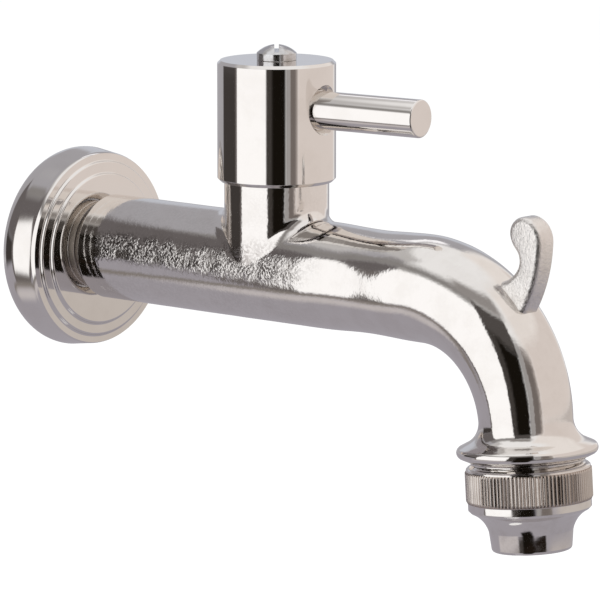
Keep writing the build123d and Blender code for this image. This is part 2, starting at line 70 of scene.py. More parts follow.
# Millimetres between the tube's rings, and the rings along the bend
TUBE_STEP = 1.1
BEND_STEPS = 64
# The bend slims by the first less the second times its share, times its share, from a soft start
SLIMMING = (1.256, 0.2)
SLIMMING_START = 0.05
NECK_COLUMNS = 240
FILLET_STEPS = 14
ROSETTE_COLUMNS = 256
ROD_COLUMNS = 128
CUTTER_COLUMNS = 96
# Columns of the nozzle for each of the knurl's teeth
TOOTH_COLUMNS = 8
# The casting's slow waves: how many, their seed, and their lengths' spread
WAVE_COUNT = 24
WAVE_SEED = 3
WAVE_SPREAD = (0.6, 1.5)
# A square's corners, anticlockwise
SQUARE = np.array([(-1, -1), (1, -1), (1, 1), (-1, 1)])


def length(name, description, millimetres):
    """A length property with its default given in millimetres."""
    return FloatProperty(
        name=name, description=description, default=millimetres * MM, unit="LENGTH", precision=5
    )


def angle(name, description, degrees):
    """An angle property with its default given in degrees."""
    return FloatProperty(
        name=name, description=description, default=radians(degrees), subtype="ANGLE"
    )


def count(name, description, number):
    """A whole number property."""
    return IntProperty(name=name, description=description, default=number, min=1)


def colour(name, description, value):
    """A colour property."""
    return FloatVectorProperty(
        name=name, description=description, default=value, size=3, min=0, max=1, subtype="COLOR"
    )


class CastingSizes(bpy.types.PropertyGroup):
    """Sizes of the cast body."""

    inlet_radius: length("Inlet thread radius", "Crest radius of the inlet thread", 10.48)
    inlet_length: length("Inlet length", "Length of the nipple behind the wall", 5.2)
    inlet_bore: length("Inlet bore", "Radius of the inlet's bore", 6.5)
    inlet_bore_end: length("Inlet bore end", "Where the inlet's bore stops, from the wall", 55.0)
    thread_pitch: length("Thread pitch", "Pitch of both pipe threads", 1.814)
    thread_depth: length("Thread depth", "Depth of both pipe threads", 1.162)
    shoulder_x: length("Shoulder", "Where the tube starts, from the wall", 14.8)
    tube_radius: length("Tube radius", "Outer radius of the supply tube", 12.6)
    waist_start: length("Waist start", "Where the spout starts to slim", 84.0)
    waist_end: length("Waist end", "Where the spout is full again", 114.5)
    waist_depth: length("Waist depth", "How much slimmer the spout is at its waist", 0.45)
    valve_x: length("Valve distance", "From the wall to the valve's axis", 68.0)
    bend_offset: length("Bend offset", "From the valve's axis to the bend", 46.5)
    bend_radius: length("Bend radius", "Centreline radius of the bend", 29.5)
    bend_slimming: length("Bend slimming", "How much the bend slims by its end", 1.7)
    outlet_lean: angle("Outlet lean", "How far the outlet leans from the vertical", 4.0)
    leg_length: length("Leg length", "From the bend's end to the lip", 6.7)
    flare_radius: length("Flare radius", "Radius of the sweep into the lip", 5.2)
    flare_angle: angle("Flare angle", "How far the flare turns", 64.0)
    lip_radius: length("Lip radius", "Largest radius of the lip", 16.3)
    lip_half: length("Lip half thickness", "Half the thickness of the lip's edge", 1.1)
    lip_underside: length("Lip underside", "Where the thread leaves the lip", 2.3)
    outlet_radius: length("Outlet thread radius", "Crest radius of the outlet thread", 13.2)
    outlet_end: length("Outlet end", "End face of the outlet, from the lip", 10.0)
    outlet_bore: length("Outlet bore", "Radius of the outlet's bore", 9.0)
    outlet_bore_length: length("Outlet bore length", "Length of the outlet's bore", 14.0)
    spout_bore: length("Spout bore", "Radius of the spout's bore", 7.8)
    spout_bore_start: length("Spout bore start", "From the valve's axis to the bore", 8.0)
    neck_radius: length("Neck radius", "Outer radius of the valve neck", 12.4)
    neck_top: length("Neck top", "Height of the neck over the tube's axis", 23.2)
    neck_blend: length("Neck blend", "Radius of the fillet between neck and tube", 4.0)
    chamber_radius: length("Chamber radius", "Radius inside the neck", 10.6)
    seat_height: length("Seat height", "Height of the seat over the tube's axis", 1.0)
    lump_size: length("Casting waves", "Length of the casting's slow waves", 8.0)
    lump_height: length("Casting wave height", "Height of the casting's slow waves", 0.006)
    columns: count("Casting columns", "Columns round the casting", 200)


class HookSizes(bpy.types.PropertyGroup):
    """Sizes of the bucket hook, from the bend's centreline under it."""

    angle: angle("Hook angle", "Where the hook stands on the bend", 45.0)
    thickness: length("Hook thickness", "Thickness of the blade", 6.1)
    edge: length("Hook edge", "Rounding of the blade's edges", 1.5)
    sunk: length("Hook root", "How far the blade runs on into the bend", 3.2)
    reach: length("Hook reach", "Reach of the hook's front", 14.6)
    height: length("Hook height", "Height of the hook's crown", 28.4)
    foot_x: length("Foot reach", "Where the front meets the bend", 9.5)
    foot_z: length("Foot height", "Height at which the front meets the bend", 5.7)
    belly_x: length("Belly reach", "Reach of the front's middle", 13.75)
    belly_z: length("Belly height", "Height of the front's middle", 16.1)
    back_z: length("Front top", "Height at which the front becomes the crown", 22.6)
    head_width: length("Head width", "Width of the hook's head", 9.2)
    head_z: length("Head height", "Height of the head's back", 23.6)
    chin_x: length("Chin reach", "Reach of the chin", 7.0)
    chin_z: length("Chin height", "Height of the chin", 20.8)
    crook_x: length("Crook reach", "Reach of the crook", 7.6)
    crook_z: length("Crook height", "Height of the crook", 16.4)
    throat_x: length("Throat reach", "Where the back meets the bend", 3.1)
    throat_z: length("Throat height", "Height at which the back meets the bend", 13.0)


class RosetteSizes(bpy.types.PropertyGroup):
    """Sizes of the wall rosette."""

    height: length("Rosette height", "Height of its axis over the tube's, as it hangs", -0.87)
    back_radius: length("Back radius", "Radius at the wall", 22.6)
    rim_radius: length("Rim radius", "Largest radius", 24.2)
    side_x: length("Side distance", "From the wall to the straight side", 4.2)
    rim_x: length("Rim distance", "From the wall to the rim", 9.8)
    sheet: length("Sheet", "Thickness of the sheet", 1.0)
    band_x: length("Band distance", "From the wall to the outer band", 10.9)
    step: length("Step", "Height of each step on the face", 0.7)
    outer_step: length("Outer step", "Radius of the outer step", 21.4)
    inner_step: length("Inner step", "Radius of the inner step", 18.5)
    edge: length("Edge", "Depth of the rim's curve", 1.1)
    taper: length("Taper", "How much slimmer the side is at the rim", 0.75)
    hole_radius: length("Hole", "Radius of the hole for the inlet", 10.8)


class HandleSizes(bpy.types.PropertyGroup):
    """Sizes of the cap, its lever and its screw."""

    cap_radius: length("Cap radius", "Outer radius of the cap", 14.0)
    cap_bottom: length("Cap bottom", "Height of the cap's lower edge", 20.9)
    cap_top: length("Cap top", "Height of the cap's top", 49.6)
    cap_inner: length("Cap inner radius", "Radius inside the skirt", 12.75)
    cap_ceiling: length("Cap ceiling", "Height of the ceiling inside", 33.6)
    top_chamfer: length("Top chamfer", "Chamfer round the top", 0.7)
    bottom_chamfer: length("Bottom chamfer", "Chamfer round the lower edge", 0.8)
    spline_radius: length("Spline bore", "Radius of the bore for the spindle", 4.15)
    spindle_top: length("Spindle top", "Height of the spindle's top", 44.5)
    screw_hole: length("Screw hole", "Radius of the hole for the screw", 2.7)
    lever_angle: angle("Lever angle", "Turn of the lever from the spout, when shut", 6.0)
    lever_radius: length("Lever radius", "Radius of the lever", 4.5)
    lever_z: length("Lever height", "Height of the lever's axis", 38.6)
    lever_tip: length("Lever tip", "From the valve's axis to the lever's tip", 41.1)
    lever_seat: length("Lever seat", "From the valve's axis to the lever's seat", 12.2)
    lever_chamfer: length("Lever chamfer", "Rounding of the lever's tip", 0.5)
    recess_radius: length("Lever recess", "Radius of the flat seat in the cap", 5.3)
    stud_radius: length("Stud radius", "Radius of the lever's stud", 3.0)
    stud_length: length("Stud length", "Length of the lever's stud", 5.7)
    screw_radius: length("Screw radius", "Radius of the screw's shank", 2.4)
    screw_end: length("Screw end", "Height of the shank's end", 38.0)
    head_radius: length("Screw head radius", "Radius of the screw's head", 4.7)
    head_height: length("Screw head height", "Height of the head's side", 1.7)
    dome_height: length("Screw dome height", "Height of the head's dome", 2.0)
    slot_width: length("Slot width", "Width of the screw's slot", 1.1)
    slot_depth: length("Slot depth", "Depth of the screw's slot", 1.5)
    slot_angle: angle("Slot angle", "Turn of the slot from the spout", -48.0)
    columns: count("Cap columns", "Columns round the cap", 288)


class NozzleSizes(bpy.types.PropertyGroup):
    """Sizes of the outlet nozzle, down the outlet's axis from the lip."""

    top: length("Nozzle top", "Top face of the nozzle", 3.5)
    rim_radius: length("Rim radius", "Radius of the plain rim over the knurl", 14.3)
    rim_height: length("Rim height", "Height of the plain rim", 0.7)
    lead: length("Lead", "Chamfer of the top edges", 0.4)
    knurl_root: length("Knurl root", "Root radius of the knurl", 14.35)
    knurl_tip: length("Knurl tip", "Tip radius of the knurl", 14.62)
    knurl_end: length("Knurl end", "Where the knurl stops", 11.6)
    knurl_teeth: count("Knurl teeth", "Ridges round the knurl", 105)
    band_radius: length("Band radius", "Radius of the smooth band", 14.2)
    band_end: length("Band end", "Where the smooth band stops", 13.4)
    band_chamfer: length("Band chamfer", "Chamfer under the band", 0.6)
    taper_lead: FloatProperty(
        name="Taper lead",
        description="Drop of the taper's start for each unit inwards",
        default=0.45,
    )
    taper_end: length("Taper end", "Where the taper meets the spigot", 18.7)
    spigot_top: length("Spigot top radius", "Radius at the spigot's top", 9.7)
    spigot_radius: length("Spigot radius", "Radius at the spigot's end", 9.2)
    end: length("Nozzle end", "End face of the spigot", 23.2)
    spigot_round: length("Spigot rounding", "Rounding of the spigot's end", 0.8)
    shoulder: length("Shoulder", "Where the thread bore stops", 13.2)
    ledge: length("Ledge", "Where the insert's room stops", 17.4)
    insert_room: length("Insert room", "Radius of the insert's room", 8.9)
    bore_radius: length("Bore", "Radius of the spigot's bore", 7.2)
    thread_bore: length("Thread bore", "Radius of the bore over the outlet's thread", 13.4)


class Finishes(bpy.types.PropertyGroup):
    """Colours of the finishes."""

    nickel: colour("Nickel", "Bright nickel plate", (0.81, 0.785, 0.76))
    nickel_dull: colour("Dull nickel", "Nickel plate where it has dulled", (0.75, 0.72, 0.69))
    knurl_grime: colour("Knurl grime", "What settles in the knurl", (0.42, 0.35, 0.30))
    # Darker colours laid in the pits of the casting's frost: near black on the tube, grey on the neck
    dark_pit_tone: colour("Dark pit tone", "Darker colour laid in the casting's pits", (0.12, 0.105, 0.10))
    neck_pit_tone: colour("Neck pit tone", "The neck's shallower pits", (0.45, 0.42, 0.40))
    # Tarnish of the inlet thread, made darker as painted shade of the gap where the tube goes into
    # the rosette
    thread_tarnish_and_shade: colour("Thread tarnish and shade", "Tarnished inlet thread, with painted shade of the gap", (0.56, 0.51, 0.46))
    brass: colour("Brass", "Bare turned brass", (0.80, 0.60, 0.33))
    brass_dull: colour("Dull brass", "Brass where it has dulled", (0.55, 0.38, 0.20))
    steel: colour("Steel", "Bright steel of screw and clip", (0.66, 0.66, 0.67))
    steel_dull: colour("Dull steel", "Steel where it has dulled", (0.46, 0.44, 0.42))
    rubber: colour("Rubber", "Black ring rubber", (0.022, 0.022, 0.024))
    rubber_dust: colour("Rubber bloom", "Pale bloom on the rubber", (0.075, 0.072, 0.070))
    fibre: colour("Fibre", "Red gasket fibre", (0.33, 0.08, 0.05))
    fibre_pale: colour("Pale fibre", "Gasket fibre where it is rubbed", (0.48, 0.20, 0.14))
    ceramic: colour("Ceramic", "Lapped alumina", (0.86, 0.85, 0.81))
    ceramic_shade: colour("Ceramic shade", "Alumina's darker grains", (0.74, 0.72, 0.67))
    plastic: colour("Plastic", "White acetal", (0.82, 0.82, 0.80))
    plastic_shade: colour("Plastic shade", "Acetal in its scuffs", (0.70, 0.69, 0.66))


class StudioSettings(bpy.types.PropertyGroup):
    """Camera, floor and reflections."""

    azimuth: angle("Camera azimuth", "Turn of the camera round the tap", 41.19)
    elevation: angle("Camera elevation", "Height of the camera as an angle", 9.20)
    distance: length("Camera distance", "From the camera to its target", 1344.0)
    target_x: length("Target x", "Where the camera looks, out from the wall", 75.30)
    target_z: length("Target z", "Where the camera looks, over the tube's axis", -6.87)
    focal: FloatProperty(
        name="Lens", description="Focal length of the lens", default=341.9, unit="CAMERA"
    )
    floor_z: length("Floor height", "Height of the floor", -300.0)
    dome_radius: length("Dome radius", "Radius of the reflection dome", 300.0)
    lamp_power: FloatProperty(
        name="Lamp power", description="Power of the lamp", default=9.0, unit="POWER"
    )
    floor_colour: colour("Floor", "Colour of the floor", (0.86, 0.86, 0.86))
    world_colour: colour("World", "Light from the pale room", (0.80, 0.80, 0.80))


class BibTapSettings(bpy.types.PropertyGroup):
    """All settings of the bib tap."""

    casting: PointerProperty(type=CastingSizes)
    hook: PointerProperty(type=HookSizes)
    rosette: PointerProperty(type=RosetteSizes)
    handle: PointerProperty(type=HandleSizes)
    nozzle: PointerProperty(type=NozzleSizes)
    finishes: PointerProperty(type=Finishes)
    studio: PointerProperty(type=StudioSettings)


def values(group):
    """The group's settings by name, with lengths in millimetres."""
    found = {}
    for name in group.__annotations__:
        value = getattr(group, name)
        found[name] = value / MM if group.bl_rna.properties[name].unit == "LENGTH" else value
    return SimpleNamespace(**found)


def unit(vectors):
    """The vectors, each divided by its length."""
    vectors = np.asarray(vectors, float)
    return vectors / np.linalg.norm(vectors, axis=-1, keepdims=True)


def smooth_step(low, high, value):
    """0 below low, 1 above high, and between them 3t^2 - 2t^3 of the share t of the way."""
    t = np.clip((value - low) / (high - low), 0, 1)
    return t * t * (3 - 2 * t)


def arc(centre, start, sweep, steps):
    """Points of a circle in the plane: start turned about centre by equal shares of sweep."""
    turn = np.linspace(0, sweep, steps + 1)
    arm = np.subtract(start, centre)
    x = centre[0] + arm[0] * np.cos(turn) - arm[1] * np.sin(turn)
    y = centre[1] + arm[0] * np.sin(turn) + arm[1] * np.cos(turn)
    return np.stack((x, y), axis=-1)


def tangent_arc(start, direction, end, steps):
    """A circular arc that leaves start along direction and passes through end.

    It turns by twice the angle between direction and the chord. The second result is its
    direction at the end.
    """
    start, end, direction = np.array(start, float), np.array(end, float), unit(direction)
    left = np.array((-direction[1], direction[0]))
    chord = end - start
    sweep = 2 * atan2(chord @ left, chord @ direction)
    centre = start + left * (chord @ chord) / (2 * chord @ left)
    leaving = direction * cos(sweep) + left * sin(sweep)
    return arc(centre, start, sweep, steps), leaving


def arc_through(start, middle, end, steps):
    """A circular arc through three points, by the direction that it must leave the first in.

    The leaving direction is the chord turned by the angle at the middle point.
    """
    start, middle, end = (np.array(p, float) for p in (start, middle, end))
    first, second = middle - start, end - middle
    bent = atan2(first[0] * second[1] - first[1] * second[0], first @ second)
    chord = end - start
    cosine, sine = cos(-bent), sin(-bent)
    direction = (chord[0] * cosine - chord[1] * sine, chord[0] * sine + chord[1] * cosine)
    return tangent_arc(start, direction, end, steps)


def rounded(points, radii, steps=5, margin=0.05, closed=False):
    """A polyline whose corners give way to arcs tangent to both runs.

    Each arc has one more point on the run before it and after it, a margin away, so that the
    shading of the runs stays flat. A radius of 0 leaves the corner sharp.
    """
    points = np.asarray(points, float)
    total = len(points)
    made = [] if closed else [points[:1]]
    for k in range(total) if closed else range(1, total - 1):
        corner, radius = points[k], radii[k if closed else k - 1]
        back, onward = unit(points[k - 1] - corner), unit(points[(k + 1) % total] - corner)
        half = acos(np.clip(back @ onward, -1, 1)) / 2
        if radius == 0 or pi - 2 * half < 0.01:
            made.append(corner[None])
            continue
        reach = radius / tan(half)
        centre = corner + unit(back + onward) * radius / sin(half)
        start = corner + back * reach
        side = -back[0] * onward[1] + back[1] * onward[0]
        bow = arc(centre, start, np.sign(side) * (pi - 2 * half), steps)
        made += [(start + back * margin)[None], bow, (corner + onward * (reach + margin))[None]]
    if not closed:
        made.append(points[-1:])
    return np.concatenate(made)


def straight(along, radius):
    """Profile points at those distances, all at one radius."""
    return np.stack((along, np.full_like(along, radius)), axis=-1)


def revolved(profile, origin, axis, side, columns, swell=None):
    """A profile of (along, radius) carried round an axis.

    Each point is the origin plus axis times along plus radius times side turned about the axis.
    swell, where given, is a function of along, radius and turn that is added to the radius.
    """
    turn = np.arange(columns) * 2 * pi / columns
    axis, side = unit(axis), unit(side)
    across = np.cross(axis, side)
    spoke = np.cos(turn)[:, None] * side + np.sin(turn)[:, None] * across
    along, radius = profile[:, :1], profile[:, 1:]
    reach = radius + (swell(along, radius, turn[None]) if swell else np.zeros(columns))
    return np.asarray(origin) + along[..., None] * axis + reach[..., None] * spoke


def waves(points, wavelength, height):
    """The sum of sine waves in random directions, each about a wavelength long."""
    random = np.random.default_rng(WAVE_SEED)
    direction = unit(random.normal(size=(WAVE_COUNT, 3)))
    pitch = wavelength * random.uniform(*WAVE_SPREAD, WAVE_COUNT)
    phase = random.uniform(0, 2 * pi, WAVE_COUNT)
    turns = points @ (direction / pitch[:, None]).T * 2 * pi + phase
    return height * np.sin(turns).sum(axis=-1) / sqrt(WAVE_COUNT / 2)


def quads_of(rows, columns, closed):
    """Corner numbers of the quads between neighbouring rows and columns of a wrapped grid."""
    row = np.arange(rows if closed else rows - 1)[:, None]
    column = np.arange(columns)[None]
    right, below = (column + 1) % columns, (row + 1) % rows
    corners = (row * columns + column, row * columns + right, below * columns + right)
    return np.stack((*corners, below * columns + column), axis=-1).reshape(-1, 4)


def shade(mesh, sharp):
    """Shades the mesh smooth, apart from edges over the sharp angle."""
    mesh.polygons.foreach_set("use_smooth", np.ones(len(mesh.polygons), bool))
    mesh.set_sharp_from_angle(angle=radians(sharp))


def cleaned(mesh, sharp, ends=False):
    """The mesh with doubled points merged, or its open ends closed, and its faces turned outwards."""
    work = bmesh.new()
    work.from_mesh(mesh)
    if ends:
        rims = [edge for edge in work.edges if edge.is_boundary]
        bmesh.ops.holes_fill(work, edges=rims, sides=0)
    else:
        bmesh.ops.remove_doubles(work, verts=work.verts, dist=1e-7)
    bmesh.ops.recalc_face_normals(work, faces=work.faces)
    work.to_mesh(mesh)
    work.free()
    shade(mesh, sharp)
    mesh.update()
    return mesh


def mesh_of(name, grid, closed=False, sharp=SHARP):
    """A mesh of a grid of points in millimetres, whose columns wrap, and its rows if closed."""
    mesh = bpy.data.meshes.new(name)
    faces = quads_of(*grid.shape[:2], closed)
    mesh.from_pydata((grid.reshape(-1, 3) * MM).tolist(), [], faces.tolist())
    return cleaned(mesh, sharp)


def add_object(name, mesh):
    """A new object with that mesh, at the origin."""
    made = bpy.data.objects.new(name, mesh)
    bpy.context.scene.collection.objects.link(made)
    return made


def finish_of(name):
    """The built material of that finish; the frame's own plain materials have the bare names."""
    return bpy.data.materials[name + "_finish"]


def add_piece(name, mesh, finish, body, slot, *nodes):
    """A piece of the tap: it has the finish, rides on the body and stands for the nodes."""
    piece = add_object(name, mesh)
    piece.data.materials.append(finish_of(finish))
    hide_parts(*nodes)
    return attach(piece, body)


def carved(mesh, cutter):
    """The mesh less the cutter's solid."""
    block, tool = add_object("carved_block", mesh), add_object("carving_tool", cutter)
    cut = block.modifiers.new("Cut", "BOOLEAN")
    cut.operation, cut.solver, cut.object = "DIFFERENCE", "EXACT", tool
    seen = block.evaluated_get(bpy.context.evaluated_depsgraph_get())
    made = bpy.data.meshes.new_from_object(seen)
    bpy.data.objects.remove(block)
    bpy.data.objects.remove(tool)
    shade(made, SHARP)
    return made


def add_node(tree, kind, sockets=None, **settings):
    """A shader node with its settings, and each socket given a value or joined to an output."""
    made = tree.nodes.new("ShaderNode" + kind)
    for name, value in settings.items():
        setattr(made, name, value)
    for name, value in (sockets or {}).items():
        if isinstance(value, bpy.types.NodeSocket):
            tree.links.new(value, made.inputs[name])
        else:
            made.inputs[name].default_value = value
    return made


def reckoned(tree, operation, *terms, **settings):
    """The result of a Math node."""
    return add_node(tree, "Math", dict(enumerate(terms)), operation=operation, **settings).outputs[0]


def product(tree, first, *factors):
    """The product of the factors."""
    for factor in factors:
        first = reckoned(tree, "MULTIPLY", first, factor)
    return first


def noise(tree, place, scale, detail, roughness=0.5):
    """Cloudy noise about a half."""
    sockets = {"Vector": place, "Scale": scale, "Detail": detail, "Roughness": roughness}
    return add_node(tree, "TexNoise", sockets).outputs[0]


def rise(tree, value, low, high, bottom=0.0, top=1.0):
    """A smooth rise from bottom at low to top at high; low may be the larger."""
    sockets = {"Value": value, "From Min": low, "From Max": high, "To Min": bottom, "To Max": top}
    return add_node(tree, "MapRange", sockets, interpolation_type="SMOOTHSTEP").outputs[0]


def sized(tree, place, size):
    """The place divided by a size, so that noise on it has about that size."""
    scale = reckoned(tree, "DIVIDE", 1.0, size)
    return add_node(tree, "VectorMath", {0: place, "Scale": scale}, operation="SCALE").outputs[0]


def mixed(tree, share, first, second):
    """The first colour with that share of the second."""
    return add_node(tree, "Mix", {0: share, 6: first, 7: second}, data_type="RGBA").outputs[2]


def new_group(name, inputs, outputs):
    """An empty shader node group with float, vector or colour sockets, and a way to end it."""
    kinds = {"f": "NodeSocketFloat", "v": "NodeSocketVector", "c": "NodeSocketColor"}
    tree = bpy.data.node_groups.new(name, "ShaderNodeTree")
    for way, sockets in (("INPUT", inputs), ("OUTPUT", outputs)):
        for label, kind in sockets.items():
            tree.interface.new_socket(label, in_out=way, socket_type=kinds[kind])
    end = tree.nodes.new("NodeGroupOutput")

    def put_out(**results):
        """Joins each result to the group's output of that name."""
        for label, socket in results.items():
            tree.links.new(socket, end.inputs[label])

    return tree, tree.nodes.new("NodeGroupInput").outputs, put_out


def build_grain_group():
    """Surface grain: soft noise, finer noise at a third of its size, and scattered pits."""
    inputs = {"Vector": "v", "Size": "f", "Fine": "f", "Pits": "f"}
    tree, given, put_out = new_group("Surface Grain", inputs, {"Height": "f"})
    place = sized(tree, given["Vector"], given["Size"])
    fine = product(tree, noise(tree, place, 3.1, 2.0), given["Fine"])
    cells = add_node(tree, "TexVoronoi", {"Vector": place, "Scale": 0.55}).outputs["Distance"]
    pits = product(tree, rise(tree, cells, 0.05, 0.3, -1.0, 0.0), given["Pits"])
    grain = reckoned(tree, "ADD", noise(tree, place, 1.0, 1.0), fine)
    put_out(Height=reckoned(tree, "ADD", grain, pits))


def build_wear_group():
    """Wear: cloudy noise with contrast, as a mask and as a mix of a clean and a dull colour."""
    inputs = {"Vector": "v", "Size": "f", "Amount": "f", "Clean": "c", "Dull": "c"}
    tree, given, put_out = new_group("Patchy Wear", inputs, {"Mask": "f", "Color": "c"})
    cloud = noise(tree, sized(tree, given["Vector"], given["Size"]), 1.0, 5.0, 0.62)
    mask = product(tree, rise(tree, cloud, 0.42, 0.68), given["Amount"])
    put_out(Mask=mask, Color=mixed(tree, mask, given["Clean"], given["Dull"]))


def build_frost_group():
    """Rough cast skin: fine noise in patches, in a band of heights, that fades out along the tube.

    Level is the band's middle and Half its half height. Pits is 1 at the bottom of the grain.
    """
    inputs = {"Vector": "v", "Size": "f", "Level": "f", "Half": "f"}
    outputs = {"Height": "f", "Mask": "f", "Pits": "f"}
    tree, given, put_out = new_group("Casting Frost", inputs, outputs)
    parts = add_node(tree, "SeparateXYZ", {0: given["Vector"]}).outputs
    begin, finish = (
        rise(tree, parts["X"], low * MM, high * MM) for low, high in (FROST_START, FROST_END)
    )
    off = reckoned(tree, "ABSOLUTE", reckoned(tree, "SUBTRACT", parts["Z"], given["Level"]))
    band = rise(tree, reckoned(tree, "DIVIDE", off, given["Half"]), 1.4, 0.6, 0.07)
    patches = rise(tree, noise(tree, given["Vector"], 210.0, 2.0), 0.36, 0.56, 0.35)
    grit = noise(tree, sized(tree, given["Vector"], given["Size"]), 1.0, 2.0, 0.6)
    mask = product(tree, begin, finish, band, patches)
    pits = product(tree, mask, rise(tree, grit, 0.58, 0.43))
    put_out(Mask=mask, Height=product(tree, mask, grit), Pits=pits)


def place_in(tree):
    """The Object coordinates that a finish reads."""
    return next(n for n in tree.nodes if n.type == "TEX_COORD").outputs["Object"]


def overlay(tree, mask, roughness, cover, tone):
    """Adds roughness to a finish where the mask is high, and lays a tone over it where cover is."""
    shader = tree.nodes["Principled BSDF"].inputs
    gloss, base = (shader[name].links[0].from_socket for name in ("Roughness", "Base Color"))
    tree.links.new(reckoned(tree, "MULTIPLY_ADD", mask, roughness, gloss), shader["Roughness"])
    tree.links.new(mixed(tree, cover, base, (*tone, 1)), shader["Base Color"])


def add_frost(material, size, height, level, half, rough, pit_tone):
    """Lays the frost over a finish: height on the bump, mask on the gloss, a darker colour in its
    pits.
    """
    tree = material.node_tree
    normal = tree.nodes["Principled BSDF"].inputs["Normal"]
    sizes = {"Size": size * MM, "Level": level * MM, "Half": half * MM}
    frost = add_node(
        tree,
        "Group",
        {"Vector": place_in(tree), **sizes},
        node_tree=bpy.data.node_groups["Casting Frost"],
    ).outputs
    under = normal.links[0].from_socket
    sockets = {"Height": frost["Height"], "Distance": height * MM, "Strength": 1.0, "Normal": under}
    tree.links.new(add_node(tree, "Bump", sockets).outputs[0], normal)
    # A darker colour laid in the frost's pits
    overlay(tree, frost["Mask"], rough, frost["Pits"], pit_tone)


def add_tarnish_and_shade(material, tone, roughness):
    """Tarnish and painted shade near the wall, for the gap behind the rosette: another, darker colour
    and a duller gloss.
    """
    tree = material.node_tree
    out = add_node(tree, "SeparateXYZ", {0: place_in(tree)}).outputs["X"]
    behind = rise(tree, out, *(x * MM for x in TARNISH_AND_SHADE_START))
    overlay(tree, behind, roughness, behind, tone)


def add_grime(material, attribute, tone, roughness):
    """Grime where the piece's own attribute is high, such as in the grooves of a knurl."""
    tree = material.node_tree
    depth = add_node(tree, "Attribute", attribute_name=attribute).outputs["Fac"]
    overlay(tree, depth, roughness, depth, tone)


def add_finish(name, clean, dull, metallic, roughness, grain, wear):
    """A material: patchy wear mixes its colours and its roughness, and grain bumps it.

    roughness is (clean, dull). grain is (size, height, fine share, pit share) and wear is
    (size, amount), with sizes and heights in millimetres.
    """
    material = bpy.data.materials.new(name + "_finish")
    material.use_nodes = True
    tree = material.node_tree
    shader = tree.nodes["Principled BSDF"].inputs
    place = add_node(tree, "TexCoord").outputs["Object"]
    worn = {"Vector": place, "Size": wear[0] * MM, "Amount": wear[1]}
    worn.update({"Clean": (*clean, 1), "Dull": (*dull, 1)})
    rough = {"Vector": place, "Size": grain[0] * MM, "Fine": grain[2], "Pits": grain[3]}
    patches, bumps = (
        add_node(tree, "Group", sockets, node_tree=bpy.data.node_groups[group]).outputs
        for group, sockets in (("Patchy Wear", worn), ("Surface Grain", rough))
    )
    limits = {"Value": patches["Mask"], "To Min": roughness[0], "To Max": roughness[1]}
    relief = {"Height": bumps["Height"], "Distance": grain[1] * MM, "Strength": 1.0}
    tree.links.new(patches["Color"], shader["Base Color"])
    tree.links.new(add_node(tree, "MapRange", limits).outputs[0], shader["Roughness"])
    tree.links.new(add_node(tree, "Bump", relief).outputs[0], shader["Normal"])
    shader["Metallic"].default_value = metallic
    return material


def outlet_frame(casting):
    """The lip's centre, the outlet's axis, and the direction across it in the tap's plane."""
    sweep = pi / 2 - casting.outlet_lean
    turned = np.array((sin(sweep), 0, cos(sweep)))
    hub = np.array((casting.valve_x + casting.bend_offset, 0, -casting.bend_radius))
    axis = np.array((cos(sweep), 0, -sin(sweep)))
    return hub + turned * casting.bend_radius + axis * casting.leg_length, axis, turned


def along_path(casting, distance):
    """Centre and outer normal of the body's centreline at distances from the wall.

    The line runs straight to the bend, turns about the bend's hub, and runs straight to the end.
    """
    start = casting.valve_x + casting.bend_offset
    sweep = pi / 2 - casting.outlet_lean
    turn = np.clip((distance - start) / casting.bend_radius, 0, sweep)
    beyond = np.maximum(distance - start - casting.bend_radius * sweep, 0)
    zero = np.zeros_like(turn)
    tangent = np.stack((np.cos(turn), zero, -np.sin(turn)), axis=-1)
    outward = np.stack((np.sin(turn), zero, np.cos(turn)), axis=-1)
    hub = np.stack((np.minimum(distance, start), zero, zero - casting.bend_radius), axis=-1)
    return hub + outward * casting.bend_radius + tangent * beyond[:, None], outward


def thread_swell(c, start, fade_in, end, fade_out):
    """A thread's swell: minus the depth times (1 - cos(2 pi distance / pitch - turn)) / 2.

    It fades in after start and out before end.
    """

    def swell(along, turn):
        ramp = smooth_step(start, start + fade_in, along)
        ramp = ramp * (1 - smooth_step(end - fade_out, end, along))
        return -c.thread_depth * ramp * (0.5 - 0.5 * np.cos(2 * pi * along / c.thread_pitch - turn))

    return swell


